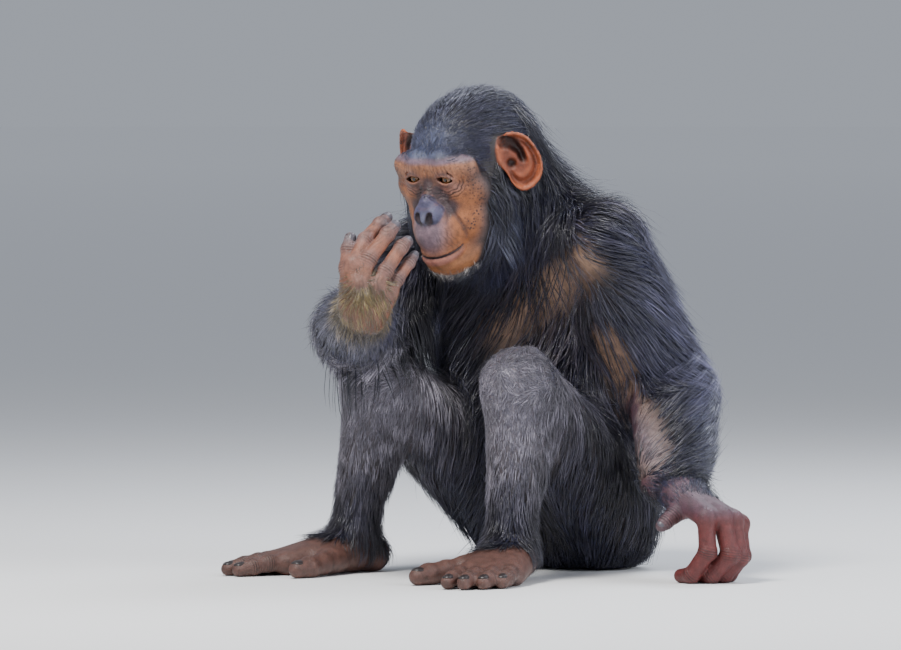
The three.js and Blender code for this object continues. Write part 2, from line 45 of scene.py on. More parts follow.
VIEW_RISE = math.radians(2)
VIEW_DISTANCE = 8000
PIXEL = 1.05
PICTURE_WIDTH = 901
SENSOR = 36


def seen(across, near, up):
    """A place by how far across, how near and how high it is from the viewed side."""
    x = across * math.cos(VIEW_TURN) + near * math.sin(VIEW_TURN)
    y = across * math.sin(VIEW_TURN) - near * math.cos(VIEW_TURN)
    return np.array([x, y, up], dtype=np.float32)


aim = seen(-110, 0, 255)
away = seen(0, math.cos(VIEW_RISE), math.sin(VIEW_RISE))
camera_data = bpy.data.cameras.new("view")
camera_data.sensor_width = SENSOR
camera_data.lens = SENSOR * VIEW_DISTANCE / (PIXEL * PICTURE_WIDTH)
camera_data.clip_end = 60
camera = bpy.data.objects.new("view", camera_data)
camera.location = Vector((aim + away * VIEW_DISTANCE) * MM)
camera.rotation_euler = Vector(-away).to_track_quat("-Z", "Y").to_euler()
bpy.context.scene.collection.objects.link(camera)
bpy.context.scene.camera = camera

# Skin. One living hide over muscle and bone, bare on the face, ears, hands and feet and hidden by
# the coat elsewhere. It is modelled as distance fields that melt into one another like flesh.
SIDES = {"left": 1, "right": -1}
SHOULDER = {"left": (118, -58, 348), "right": (-118, -42, 340)}
ELBOW = {"left": seen(128, 51, 187), "right": seen(-212, 92, 252)}
WRIST = {"left": seen(130, 197, 85), "right": seen(-199, 258, 278)}
HIP = {"left": (58, -5, 80), "right": (-58, -5, 80)}
KNEE = {"left": (98, -169, 199), "right": (-98, -169, 199)}
ANKLE = {"left": (104, -188, 38), "right": (-110, -192, 38)}
HEAD_MIDDLE = seen(-95.5, 103, 426)
HEAD_BOW, HEAD_ROLL, HEAD_TURN = np.radians([17.5, 1, 8])
EYE = np.array([19.5, 57.5, 4.5])
EYE_RADIUS = 9.8


def place(*coordinates):
    return np.array(coordinates, dtype=np.float32)


def bone(a, b, ra, rb=None):
    """Distance to a round bar from a to b whose radius runs from ra to rb."""
    a, b = place(*a), place(*b)
    rb = ra if rb is None else rb
    ab = b - a

    def distance(p):
        ap = p - a
        t = np.clip(ap @ ab / (ab @ ab), 0, 1)
        ap -= t[:, None] * ab
        return np.sqrt(np.einsum("ij,ij->i", ap, ap)) - (ra + (rb - ra) * t)

    return distance


def lump(centre, radii):
    """Distance, near enough, to an egg-shaped mass."""
    centre, radii = place(*centre), place(*radii)

    def distance(p):
        q = (p - centre) / radii
        k0 = np.sqrt(np.einsum("ij,ij->i", q, q))
        q /= radii
        k1 = np.sqrt(np.einsum("ij,ij->i", q, q))
        return k0 * (k0 - 1) / np.maximum(k1, 1e-6)

    return distance


def melt(a, b, k):
    """The nearer of two distances, with the crease between them filled over k."""
    h = np.maximum(k - np.abs(a - b), 0) / k
    return np.minimum(a, b) - h * h * (k / 4)


def carve(a, b, k):
    """Takes b away from a, with an edge rounded over k."""
    return -melt(-a, b, k)


def together(k, *fields):
    """Several masses melted into one."""

    def distance(p):
        d = fields[0](p)
        for field in fields[1:]:
            d = melt(d, field(p), k)
        return d

    return distance


def both(make):
    """The same form on the left and on the right."""
    return [make(1), make(-1)]


def smooth_step(value, low, high):
    t = np.clip((value - low) / (high - low), 0, 1)
    return t * t * (3 - 2 * t)


def bell(value, middle, spread):
    """1 at the middle, falling off smoothly on both sides."""
    return np.exp(-(((value - middle) / spread) ** 2))


def turn_matrix():
    cx, cy, cz = np.cos([HEAD_BOW, HEAD_ROLL, HEAD_TURN])
    sx, sy, sz = np.sin([HEAD_BOW, HEAD_ROLL, HEAD_TURN])
    bow = np.array([[1, 0, 0], [0, cx, -sx], [0, sx, cx]])
    roll = np.array([[cy, 0, sy], [0, 1, 0], [-sy, 0, cy]])
    turn = np.array([[cz, -sz, 0], [sz, cz, 0], [0, 0, 1]])
    return (turn @ roll @ bow).astype(np.float32)


HEAD_AXES = turn_matrix() @ np.diag([1, -1, 1]).astype(np.float32)


def on_head(p):
    """World places as left, forward and up on the head, from the middle of the ear axis."""
    return (p - HEAD_MIDDLE) @ HEAD_AXES


def from_head(q):
    return np.asarray(q, dtype=np.float32) @ HEAD_AXES.T + HEAD_MIDDLE


trunk_field = together(
    45,
    lump((0, 14, 80), (92, 72, 82)),
    lump((46, 26, 46), (46, 50, 50)),
    lump((-46, 26, 46), (46, 50, 50)),
    lump((0, -10, 165), (94, 80, 86)),
    lump((0, 0, 265), (94, 76, 88)),
    lump((0, 34, 255), (72, 50, 96)),
    lump((-62, -50, 262), (46, 48, 70)),
    bone((80, -44, 340), (-80, -44, 340), 44),
)
neck_field = together(
    24,
    bone((0, -44, 350), from_head((0, -32, -10)), 64, 60),
    bone((62, -48, 352), (0, -64, 384), 38, 44),
    bone((-62, -48, 352), (0, -64, 384), 38, 44),
)
skull_field = together(
    12,
    lump((0, -18, 15), (56, 75, 55)),
    lump((0, 24, -14), (49, 40, 44)),
    lump((0, 40, -40), (38, 34, 30)),
    lump((0, 57, -50), (29.5, 31, 33)),
    lump((0, 52, -83), (26, 27, 20)),
    lump((0, 20, -58), (34, 34, 28)),
    bone((0, 62, 4), (0, 76, -25), 6.5, 9),
    bone((-14, 60, 21), (14, 60, 21), 9.5),
    *both(lambda s: bone((14 * s, 60, 21), (38 * s, 51, 15), 10, 9)),
    *both(lambda s: bone((38 * s, 51, 15), (41 * s, 46, -6), 8, 9)),
    *both(lambda s: lump((31 * s, 30, -40), (18, 24, 32))),
    *both(lambda s: bone((26 * s, 51, -14), (42 * s, 38, -13), 10.5, 12.5)),
    *both(lambda s: bone((44 * s, 4, -36), (22 * s, 40, -80), 15, 14)),
    *both(lambda s: lump((EYE[0] * s, EYE[1] - 1, EYE[2]), (13, 11, 11))),
)


def march(field, origins, ways, steps=60):
    """Where rays from inside a field come out of it."""
    t = np.zeros(len(origins), dtype=np.float32)
    for _ in range(steps):
        t -= field(origins + t[:, None] * ways) * 0.85
    return origins + t[:, None] * ways


MOUTH_SPREAD = math.radians(55)
MOUTH_HEIGHT = -76
MOUTH_RISE = 6.5
MOUTH_TILT = 3


def mouth_line(count):
    """The line where the lips meet, laid round the muzzle and a little askew."""
    share = np.linspace(-1, 1, count).astype(np.float32)
    turn = MOUTH_SPREAD * share
    ways = np.stack([np.sin(turn), np.cos(turn), 0 * turn], 1)
    high = MOUTH_HEIGHT + MOUTH_RISE * share**2 + MOUTH_TILT * share
    origins = np.stack([0 * turn, 0 * turn + 44, high], 1)
    return march(skull_field, origins, ways), ways, share


def chain(points, radii, k=2.0):
    """Round bars from point to point, each as thick at its ends as the points say."""
    bars = [bone(a, b, ra, rb) for a, b, ra, rb in zip(points[:-1], points[1:], radii[:-1], radii[1:])]
    return together(k, *bars)


mouth, mouth_ways, mouth_share = mouth_line(17)
fullness = 1 - mouth_share**2
up = place(0, 0, 1)
lower_lip = chain(mouth - 2.4 * mouth_ways - 4.2 * up, 1.5 + 2.6 * fullness)
upper_lip = chain(mouth - 2.4 * mouth_ways + 3.4 * up, 1.8 + 1.4 * fullness)
mouth_slit = chain(mouth + 0.5 * mouth_ways, 0.5 + 0.5 * fullness, 1.0)

nose_field = together(
    4,
    lump((0, 75.5, -17), (8.5, 9, 8)),
    lump((0, 74.5, -28), (16.5, 12, 10.5)),
    lump((0, 85, -31.5), (3.6, 6.5, 6)),
    *both(lambda s: lump((8.2 * s, 80.5, -31), (6.4, 8, 7))),
)
nostrils = both(lambda s: bone((6 * s, 90, -37.5), (7.2 * s, 86.5, -28.5), 3.6, 2.9))


def slope(field, p, reach=0.5):
    """The way straight off a field's surface."""
    steps = np.eye(3, dtype=np.float32) * reach
    return np.stack([field(p + step) - field(p - step) for step in steps], 1) / (2 * reach)


def laid_on(field, points, depth=0.0):
    """Points moved to the surface of a field, or to a depth under it."""
    points = np.array(points, dtype=np.float32)
    for _ in range(4):
        points = points - slope(field, points) * (field(points) + depth)[:, None]
    return points


def fold(points, radii):
    """A furrow that follows the face."""
    return chain(laid_on(skull_field, points, -0.3), radii, 1.5)


NOSE_FOLD = [(2, 80, -9), (10, 77, -13), (17, 72, -21), (19.5, 70, -31), (16, 73, -41)]
CHEEK_FOLD = [(20, 70, -18), (25, 67, -32), (28, 61, -48), (29, 58, -58)]
nose_folds = both(lambda s: fold([(x * s, y, z) for x, y, z in NOSE_FOLD], [0.5, 1, 1.3, 1.3, 0.4]))
cheek_folds = both(lambda s: fold([(x * s, y, z) for x, y, z in CHEEK_FOLD], [0.5, 1, 0.9, 0.3]))

LID_OPENING = (9.6, 3.5)
LID_TILT = math.radians(7)


def eye_places(q, s):
    """Places beside one eye: outwards, forwards and up, turned with the slit between its lids."""
    x = (q[:, 0] - EYE[0] * s) * s
    z = q[:, 2] - EYE[2]
    across = x * math.cos(LID_TILT) - z * math.sin(LID_TILT)
    high = x * math.sin(LID_TILT) + z * math.cos(LID_TILT)
    return across, q[:, 1] - EYE[1], high


def with_eye(d, q, s):
    across, forward, high = eye_places(q, s)
    ball = np.sqrt(across**2 + forward**2 + high**2)
    d = melt(d, ball - (EYE_RADIUS + 2.1), 3.5)
    half, rise = LID_OPENING
    bend = half * half / (2 * rise) + rise / 2
    slit = np.maximum(
        np.hypot(across, high - (rise - bend)) - bend,
        np.hypot(across, high + (rise - bend)) - bend,
    )
    slit = np.maximum(slit, 2 - forward)
    d = carve(d, slit, 1.2)
    d = np.maximum(d, EYE_RADIUS + 0.2 - ball)
    crease = np.abs(ball - (EYE_RADIUS + 3.2)) - 0.9
    lid_crease = np.maximum(crease, np.abs(np.hypot(across, high * 0.9 + 0.5) - 9.2) - 0.8)
    return carve(d, np.maximum(lid_crease, 3 - high), 1.5)


def face_folds(q):
    """The families of folds in the bare face. Each has a phase that grows by 1 from fold to fold and
    a depth of 0 to 1."""
    side = np.abs(q[:, 0])
    forward, high = q[:, 1], q[:, 2]
    across = side - EYE[0]
    drop = high - EYE[2]
    ring = np.hypot(across, drop * 1.12)
    wobble = 0.6 * np.sin(side * 0.55) + 0.5 * np.sin(high * 0.7 + side * 0.3)
    under_eye = smooth_step(0.35 * across - drop, 3, 8) * bell(ring, 18, 7)
    bridge = bell(side, 0, 9) * bell(high, -7, 8)
    beside_nose = 0.8 * bell(side, 16, 6) * bell(high, -14, 8)
    brow = 0.45 * bell(high, 15, 8) * smooth_step(side, 44, 20)
    frown = 0.8 * bell(side, 0, 7) * bell(high, 11, 7)
    temple = 0.5 * bell(side, 40, 6) * bell(high, 0, 13)
    muzzle = 0.5 * bell(high, -56, 13) * bell(side, 20, 11) * smooth_step(forward, 46, 58)
    front = smooth_step(forward, 38, 50)
    return [
        ((ring + wobble) / 3.7, front * under_eye),
        ((high + 0.3 * side + wobble) / 3.6, front * bridge),
        ((side - 0.8 * high + wobble) / 3.8, front * beside_nose),
        ((side + 0.12 * high + wobble) / 4.4, front * brow),
        (side / 4.4, front * frown),
        ((high * 0.9 + 0.3 * side + wobble) / 4.2, front * temple),
        ((side + 0.2 * high + wobble) / 3.4, front * muzzle),
    ]


FOLD_DEPTH = 0.42


def face_creases(q):
    """How deep the folds of the bare face lie below its smooth form."""
    return FOLD_DEPTH * sum(depth * np.cos(2 * np.pi * phase) for phase, depth in face_folds(q))


# The ears are held out from the head: a rolled rim round a shallow cup, with a deep bowl at the root.
EAR_EDGE = [(5, 22), (13, 35), (25, 37), (38, 30), (47, 15), (51, -2), (47, -17), (37, -27), (25, -29)]
EAR_EDGE += [(16, -20), (12, -8), (5, 6)]
EAR_BOWL_RUN = [(13, 27), (22, 23), (29, 14), (31, 5)]
EAR_CANAL = (18.5, 2)
EAR_MIDDLE = np.array([25, 5])
EAR_FLARE = math.radians(50)
EAR_ROOT = np.array([49, 18, 1])
EAR_RIM_SIDES = 72
EAR_RINGS = 22


def closed_curve(points, count):
    """A smooth closed line through a few points."""
    points = np.array(points, dtype=float)
    t = np.arange(count) * len(points) / count
    k = t.astype(int)
    u = (t - k)[:, None]
    p0, p1, p2, p3 = (points[(k + i) % len(points)] for i in (-1, 0, 1, 2))
    square = 2 * p0 - 5 * p1 + 4 * p2 - p3
    cube = 3 * p1 - p0 - 3 * p2 + p3
    return 0.5 * (2 * p1 + (p2 - p0) * u + square * u**2 + cube * u**3)


def ear_hollows(out, rise):
    """Distances on the ear's face from the run of its bowl and from its canal."""
    off = np.full(len(out), 1e3)
    for i, ((x0, z0), (x1, z1)) in enumerate(zip(EAR_BOWL_RUN[:-1], EAR_BOWL_RUN[1:])):
        run, climb = x1 - x0, z1 - z0
        t = np.clip(((out - x0) * run + (rise - z0) * climb) / (run**2 + climb**2), 0, 1)
        off = np.minimum(off, np.hypot(out - x0 - t * run, rise - z0 - t * climb) + 1.2 * (i + t))
    return off, np.hypot(out - EAR_CANAL[0], rise - EAR_CANAL[1])


def ring_faces(count, rings, inside_out=False):
    """Faces of a closed form made of rings of points: a fan at each end and bands of quads between. Its
    first and last points are the ends."""
    i = np.arange(count)
    j = (i + 1) % count
    near = 1 + count * np.arange(rings - 1)[:, None]
    far = near + count
    last = 1 + count * rings
    if inside_out:
        quads = np.stack([near + i, near + j, far + j, far + i], -1)
        i, j = j, i
    else:
        quads = np.stack([near + i, far + i, far + j, near + j], -1)
    fans = [
        np.stack([0 * i, 1 + i, 1 + j], 1),
        np.stack([0 * i + last, last - count + j, last - count + i], 1),
    ]
    return np.concatenate(fans), quads.reshape(-1, 4)


def ear_shell(s):
    """Points and faces of one ear as a closed shell, on the head's axes."""
    edge = closed_curve(EAR_EDGE, EAR_RIM_SIDES)
    out = np.array([math.sin(EAR_FLARE) * s, -math.cos(EAR_FLARE), 0])
    face = np.array([math.cos(EAR_FLARE) * s, math.sin(EAR_FLARE), 0])
    turn = np.arctan2(edge[:, 1] - EAR_MIDDLE[1], edge[:, 0] - EAR_MIDDLE[0])
    rooted = smooth_step(-np.cos(turn), 0.35, 0.95)
    rings = []
    for layer in (1, -1):
        for ring in range(EAR_RINGS):
            share = (ring + 1) / EAR_RINGS if layer == 1 else 1 - ring / EAR_RINGS - 0.02
            flat = EAR_MIDDLE + share * (edge - EAR_MIDDLE)
            rim = bell(share, 0.9, 0.09) * (4.0 - 2.2 * rooted)
            cup = -3.2 * bell(share, 0.74, 0.11) * (1 - rooted)
            ridge = 2.4 * bell(share, 0.5, 0.12) * smooth_step(np.cos(turn + 0.2), -0.7, 0.5)
            bowl, canal = ear_hollows(flat[:, 0], flat[:, 1])
            bowl = -8.5 * smooth_step(bowl, 9, 3) - 6 * smooth_step(canal, 7, 2)
            front = -1.0 + rim + cup + ridge + bowl
            thick = 3.0 + 2.2 * rooted + 2.0 * bell(share, 0.5, 0.3)
            depth = front if layer == 1 else front - thick * math.sqrt(max(1 - max(share, 0) ** 6, 0))
            rings.append(
                EAR_ROOT * np.array([s, 1, 1])
                + flat[:, :1] * out
                + depth[:, None] * face
                + np.stack([0 * turn, 0 * turn, flat[:, 1]], 1)
            )
    poles = [rings[0].mean(0), rings[-1].mean(0)]
    points = np.concatenate([poles[:1], *rings, poles[1:]])
    return points, *ring_faces(EAR_RIM_SIDES, len(rings), inside_out=True)


FLOOR_CLEAR = 0.3


def grid_of(field, low, high, step, block=6):
    """A field sampled on a grid, cut flat just above the floor. Only blocks that its surface may cross
    are sampled point by point."""
    low = place(*low)
    cells = np.ceil((place(*high) - low) / (step * block)).astype(int) + 1
    index = np.indices(cells).reshape(3, -1).T
    middles = low + ((index + 0.5) * block * step).astype(np.float32)
    rough = np.maximum(field(middles), FLOOR_CLEAR - middles[:, 2])
    near = np.abs(rough) < block * step * 1.05 + 2 * step
    volume = np.where(rough > 0, 1, -1).astype(np.float32).reshape(cells) * 3 * step
    for axis in range(3):
        volume = np.repeat(volume, block, axis)
    offsets = np.indices((block,) * 3).reshape(3, -1).T
    chosen = index[near] * block
    for start in range(0, len(chosen), 2000):
        spots = (chosen[start : start + 2000, None] + offsets[None]).reshape(-1, 3)
        values = field(low + (spots * step).astype(np.float32))
        values = np.maximum(values, FLOOR_CLEAR - low[2] - spots[:, 2] * step)
        volume[spots[:, 0], spots[:, 1], spots[:, 2]] = np.clip(values, -3 * step, 3 * step)
    return volume, low


def surface(field, region, low, high, step):
    """The surface of a field where a region's distance is negative, as points with triangles and quads.
    The walls that end it inside the body are left out."""
    volume, low = grid_of(lambda p: np.maximum(field(p), region(p)), low, high, step)
    grid = openvdb.FloatGrid(3 * step)
    grid.copyFromArray(volume)
    points, triangles, quads = grid.convertToPolygons(0, 0)
    points = (points * step + low).astype(np.float32)
    inside = np.maximum(field(points), FLOOR_CLEAR - points[:, 2]) < -0.6 * step
    shown = [faces[~inside[faces].all(1)][:, ::-1].astype(np.int32) for faces in (triangles, quads)]
    return points, *shown


ear_points, ear_triangles, ear_quads = ear_shell(1)
EAR_STEP = 1.1
EAR_LOW = place(30, -50, -45)
EAR_HIGH = place(110, 40, 55)


def ear_volume():
    """The left ear's distances on a grid over its box."""
    transform = openvdb.createLinearTransform(voxelSize=EAR_STEP)
    points = (ear_points - EAR_LOW).astype(np.float32)
    faces = {"triangles": ear_triangles.astype(np.uint32), "quads": ear_quads.astype(np.uint32)}
    level = openvdb.FloatGrid.createLevelSetFromPolygons(points, transform=transform, halfWidth=8, **faces)
    shape = np.ceil((EAR_HIGH - EAR_LOW) / EAR_STEP).astype(int)
    volume = np.full(shape, 8 * EAR_STEP, dtype=np.float32)
    level.copyToArray(volume)
    return volume


ear_grid = ear_volume()


def sample(volume, low, step, p):
    """Values between the points of a grid, by straight mixing along its three axes."""
    at = np.clip((p - low) / step, 0, np.array(volume.shape[:3]) - 1.001)
    corner = at.astype(int)
    part = (at - corner).astype(np.float32)
    x, y, z = corner.T
    if volume.ndim == 4:
        part = part[:, :, None]
    u, v, w = part[:, 0], part[:, 1], part[:, 2]
    near = (volume[x, y, z] * (1 - u) + volume[x + 1, y, z] * u) * (1 - v)
    near = near + (volume[x, y + 1, z] * (1 - u) + volume[x + 1, y + 1, z] * u) * v
    far = (volume[x, y, z + 1] * (1 - u) + volume[x + 1, y, z + 1] * u) * (1 - v)
    far = far + (volume[x, y + 1, z + 1] * (1 - u) + volume[x + 1, y + 1, z + 1] * u) * v
    return near * (1 - w) + far * w


def mirrored(q):
    """Places on the head, all taken over to its left side."""
    return np.column_stack([np.abs(q[:, 0]), q[:, 1:]])


def off_nearer_ear(q):
    return sample(ear_grid, EAR_LOW, EAR_STEP, mirrored(q))


def head_skin(q):
    """The head with all that shows on the bare face and with its ears."""
    d = skull_field(q)
    for part in (nose_field, lower_lip, upper_lip):
        d = melt(d, part(q), 4)
    for s in SIDES.values():
        d = with_eye(d, q, s)
    for furrow in nose_folds + cheek_folds:
        d = carve(d, furrow(q), 3)
    d = d + face_creases(q)
    for cut in nostrils + [mouth_slit]:
        d = carve(d, cut(q), 1.2)
    return melt(d, off_nearer_ear(q), 5)


# Arms, legs, hands and feet belong to the same skin.
def middle(a, b, share=0.5):
    return place(*a) * (1 - share) + place(*b) * share


def limb_fields(side):
    shoulder, elbow, wrist = SHOULDER[side], ELBOW[side], WRIST[side]
    hip, knee, ankle = HIP[side], KNEE[side], ANKLE[side]
    behind_elbow = place(*elbow) + place(0, 6, -4)
    inward = seen(-26, 0, 0) if side == "left" else place(0, 0, 0)
    under_hip = place(*hip) + place(0, 10, -18)
    calf = place(0, 15, 0)
    return {
        "upper_arm": together(
            14,
            bone(shoulder, elbow, 38, 28),
            bone(shoulder, behind_elbow, 30, 25),
            bone(middle(shoulder, elbow, 0.4) + inward, elbow + inward, 31, 28),
        ),
        "forearm": together(
            14,
            bone(elbow, wrist, 28, 20),
            bone(middle(elbow, wrist, 0.12), middle(elbow, wrist, 0.5), 32, 27),
            bone(elbow + inward, middle(elbow, wrist, 0.85) + inward, 27, 21),
        ),
        "thigh": together(14, bone(hip, knee, 58, 36), bone(under_hip, knee, 52, 32)),
        "shin": together(
            14,
            bone(knee, ankle, 35, 22),
            bone(middle(knee, ankle, 0.2) + calf, middle(knee, ankle, 0.6) + calf, 29, 22),
        ),
    }


limb_field = {side: limb_fields(side) for side in SIDES}

FINGERS = {"index": 7.6, "middle": 8.1, "ring": 7.7, "little": 6.5}
FINGER_SWELL = {"left": 1.2, "right": 1}
KNUCKLES = {
    "right": {
        "index": [seen(-208, 262, 326), seen(-197, 247, 350), seen(-182, 228, 366), seen(-175, 214, 372)],
        "middle": [seen(-202, 266, 306), seen(-193, 263, 331), seen(-174, 246, 356), seen(-167, 232, 364)],
        "ring": [seen(-186, 264, 304), seen(-176, 261, 319), seen(-160, 245, 343), seen(-154, 230, 348)],
        "little": [seen(-173, 257, 297), seen(-164, 253, 310), seen(-152, 240, 327), seen(-147, 228, 334)],
        "thumb": [seen(-209, 256, 292), seen(-215, 250, 322), seen(-214, 245, 341), seen(-212, 239, 352)],
    },
    "left": {
        "index": [place(283, -90, 68), place(286, -91, 33), place(268, -95, 9), place(252, -93, 7.4)],
        "middle": [place(288, -72, 68), place(299.6, -71, 30), place(281, -79, 8.8), place(264, -77, 7.6)],
        "ring": [place(288, -54, 64), place(299.7, -57, 26), place(285, -64, 8.2), place(268, -63, 7)],
        "little": [place(284, -38, 59), place(293, -43, 27), place(280, -49, 7.6), place(265, -49, 6.6)],
        "thumb": [place(243, -76, 78), place(240, -92, 68), place(238, -100, 62), place(236, -105, 58)],
    },
}
THUMB_RADII = [10, 8.2, 7.2, 6.2]
TIP_SHARE = 0.8


def unit(v):
    return v / np.linalg.norm(v)


def towards(start, end):
    return unit(place(*end) - place(*start))


def past_end(p, start, end):
    """How far places lie past the end of a line, along it."""
    return (p - place(*end)) @ towards(start, end)


def digit(joints, radii):
    """One finger or toe: bars between its joints, thicker where the joints are."""
    swell = [lump(joint, [r * 1.07] * 3) for joint, r in zip(joints[1:-1], radii[1:-1])]
    return together(2, chain(joints, radii, 3), *swell)


def hand_field(side):
    """A palm of four bars and the ball of the thumb, with five digits that hardly melt together."""
    knuckles = [KNUCKLES[side][finger][0] for finger in FINGERS]
    thumb = KNUCKLES[side]["thumb"]
    heel = place(*WRIST[side])
    across = unit(knuckles[3] - knuckles[0])
    palm = [bone(heel + 9 * (i - 1.5) * across, knuckle, 13, 10.5) for i, knuckle in enumerate(knuckles)]
    thenar = bone(heel - 12 * across, middle(thumb[0], thumb[1]), 12, 9)
    digits = [digit(thumb, THUMB_RADII)]
    for finger, girth in FINGERS.items():
        joints = KNUCKLES[side][finger]
        girth = girth * FINGER_SWELL[side]
        start = middle(joints[0], heel, 0.3)
        digits.append(digit([start, *joints], [girth, girth, girth, girth * 0.92, girth * TIP_SHARE]))
    return together(5, together(8, *palm, thenar), together(1, *digits))


FOOT_TURN = math.radians(22)
TOES = {"second": (84, -16, 56), "third": (88, 1, 56), "fourth": (82, 16, 50), "fifth": (70, 28, 43)}
BIG_TOE = [(36, -30, 15), (60, -48, 13), (80, -60, 10.5), (96, -66, 9)]
BIG_TOE_RADII = [12, 11, 11, 9.2]
TOE_RADII = [9, 8.6, 8.4, 7.4]


def on_foot(side, forward, outward, up):
    s = SIDES[side]
    x = ANKLE[side][0] + s * (math.sin(FOOT_TURN) * forward + math.cos(FOOT_TURN) * outward)
    y = ANKLE[side][1] - math.cos(FOOT_TURN) * forward + math.sin(FOOT_TURN) * outward
    return place(x, y, up)


def toe_joints(side, toe):
    forward, outward, reach = TOES[toe]
    return [
        on_foot(side, forward - 12, outward * 0.96, 13),
        on_foot(side, forward + reach * 0.4, outward * 1.06, 13),
        on_foot(side, forward + reach * 0.72, outward * 1.1, 10),
        on_foot(side, forward + reach, outward * 1.1, 7.2),
    ]


def foot_field(side):
    rays = [
        bone(on_foot(side, 5, outward * 0.4, 24), on_foot(side, forward, outward, 12), 19, 12.5)
        for forward, outward, _ in TOES.values()
    ]
    sole = together(
        10,
        *rays,
        bone(on_foot(side, -20, 0, 18), on_foot(side, -2, 0, 26), 19, 20),
        bone(on_foot(side, 0, 0, 28), ANKLE[side], 20, 22),
        bone(on_foot(side, 12, -8, 20), on_foot(side, 44, -32, 15), 17, 14),
    )
    big = digit([on_foot(side, *joint) for joint in BIG_TOE], BIG_TOE_RADII)
    toes = [big] + [digit(toe_joints(side, toe), TOE_RADII) for toe in TOES]
    return together(6, sole, together(1, *toes))


hand = {side: hand_field(side) for side in SIDES}
foot = {side: foot_field(side) for side in SIDES}
clothed = [trunk_field, neck_field] + [field for side in SIDES for field in limb_field[side].values()]


def flesh(p):
    """All that the coat grows on, with soft passages from part to part."""
    d = skull_field(on_head(p))
    for field in clothed:
        d = melt(d, field(p), 14)
    return d


def arm_and_hand(side):
    return together(10, limb_field[side]["forearm"], hand[side])


def leg_and_foot(side):
    return together(10, limb_field[side]["shin"], foot[side])


def neck_and_head(p):
    d = melt(neck_field(p), trunk_field(p), 14)
    return melt(head_skin(on_head(p)), d, 14)


def off_face(q):
    """Distance past the stretch of the head that is drawn finest, the face."""
    share = ((q - place(0, 62, -24)) / place(62, 34, 80)) ** 4
    return (share.sum(1) ** 0.25 - 1) * 45


def off_ears(q):
    """Distance past the stretches round the two ears."""
    share = ((np.abs(q * place(1, 0, 0)) + q * place(0, 1, 1) - place(73, 2, 5)) / place(26, 37, 46)) ** 4
    return (share.sum(1) ** 0.25 - 1) * 28


def past_joint(p, joint, end, reach, girth):
    """Distance past the stretch of a limb from a joint outwards, but for the bar from its other end."""
    way = towards(end, joint)
    along = (p - place(*joint)) @ way
    off = np.linalg.norm(p - place(*joint) - along[:, None] * way, axis=1)
    before = np.minimum(-10 - along, girth - off)
    return np.maximum(before, np.linalg.norm(p - joint, axis=1) - reach)


def off_hand(side, reach):
    return lambda p: past_joint(p, WRIST[side], ELBOW[side], reach, 48)


def off_foot(side, reach):
    return lambda p: past_joint(p, ANKLE[side], KNEE[side], reach, 200)


def off_fine(p):
    """Distance past all the finely drawn stretches, for the clothed body between them."""
    q = on_head(p)
    d = np.minimum(off_face(q), off_ears(q))
    for side in SIDES:
        d = np.minimum(d, np.minimum(off_hand(side, 65)(p), off_foot(side, 55)(p)))
    return d


OVERLAP = 7
HAND_MIDDLE = {side: middle(WRIST[side], KNUCKLES[side]["ring"][1], 0.75) for side in SIDES}
face_middle = from_head((0, 45, -20))

# Each stretch has its field, the part of space it may fill, that part's middle and half width, and
# the size of its grid: fine on the face and the ears, coarse where the coat hides it.
stretches = [
    (neck_and_head, lambda p: off_face(on_head(p)), face_middle, 105, 1.14),
    (flesh, lambda p: -OVERLAP - off_fine(p), place(0, -80, 250), 290, 10),
]
for side, s in SIDES.items():
    ear_middle = from_head((73 * s, 2, 5))
    this_side = lambda p, s=s: np.maximum(off_ears(on_head(p)), -s * on_head(p)[:, 0])
    stretches.append((neck_and_head, this_side, ear_middle, 60, 1.15))
    stretches.append((arm_and_hand(side), off_hand(side, 160), HAND_MIDDLE[side], 92, 1.8))
    stretches.append((leg_and_foot(side), off_foot(side, 180), on_foot(side, 50, -10, 60), 100, 2.8))


def build_mesh(name, points, *faces):
    """A smooth-shaded mesh object from points in millimetres."""
    mesh = bpy.data.meshes.new(name)
    mesh.vertices.add(len(points))
    mesh.vertices.foreach_set("co", (points * MM).astype(np.float32).ravel())
    corners = np.concatenate([f.ravel() for f in faces]).astype(np.int32)
    sizes = np.concatenate([np.full(len(f), f.shape[1]) for f in faces])
    mesh.loops.add(len(corners))
    mesh.loops.foreach_set("vertex_index", corners)
    mesh.polygons.add(len(sizes))
    mesh.polygons.foreach_set("loop_start", np.concatenate([[0], np.cumsum(sizes)[:-1]]).astype(np.int32))
    mesh.polygons.foreach_set("use_smooth", np.ones(len(sizes), dtype=bool))
    mesh.update(calc_edges=True)
    mesh.validate()
    obj = bpy.data.objects.new(name, mesh)
    bpy.context.scene.collection.objects.link(obj)
    return obj


def join_surfaces(parts):
    """Several surfaces as one set of points, triangles and quads."""
    start = np.cumsum([0] + [len(points) for points, _, _ in parts[:-1]])
    return (
        np.concatenate([points for points, _, _ in parts]),
        np.concatenate([triangles + first for (_, triangles, _), first in zip(parts, start)]),
        np.concatenate([quads + first for (_, _, quads), first in zip(parts, start)]),
    )


made = [
    surface(field, region, centre - half, centre + half, step)
    for field, region, centre, half, step in stretches
]
skin_points, skin_triangles, skin_quads = join_surfaces(made)
skin = build_mesh("skin", skin_points, skin_triangles, skin_quads)
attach(skin, "root")
flesh_nodes = [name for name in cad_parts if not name.startswith("eye_")]
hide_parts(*flesh_nodes)


def linear(hex_colour):
    """An sRGB hex colour as the linear one that Blender mixes."""
    parts = [int(hex_colour[i : i + 2], 16) / 255 for i in (1, 3, 5)]
    return tuple(c / 12.92 if c <= 0.04045 else ((c + 0.055) / 1.055) ** 2.4 for c in parts)


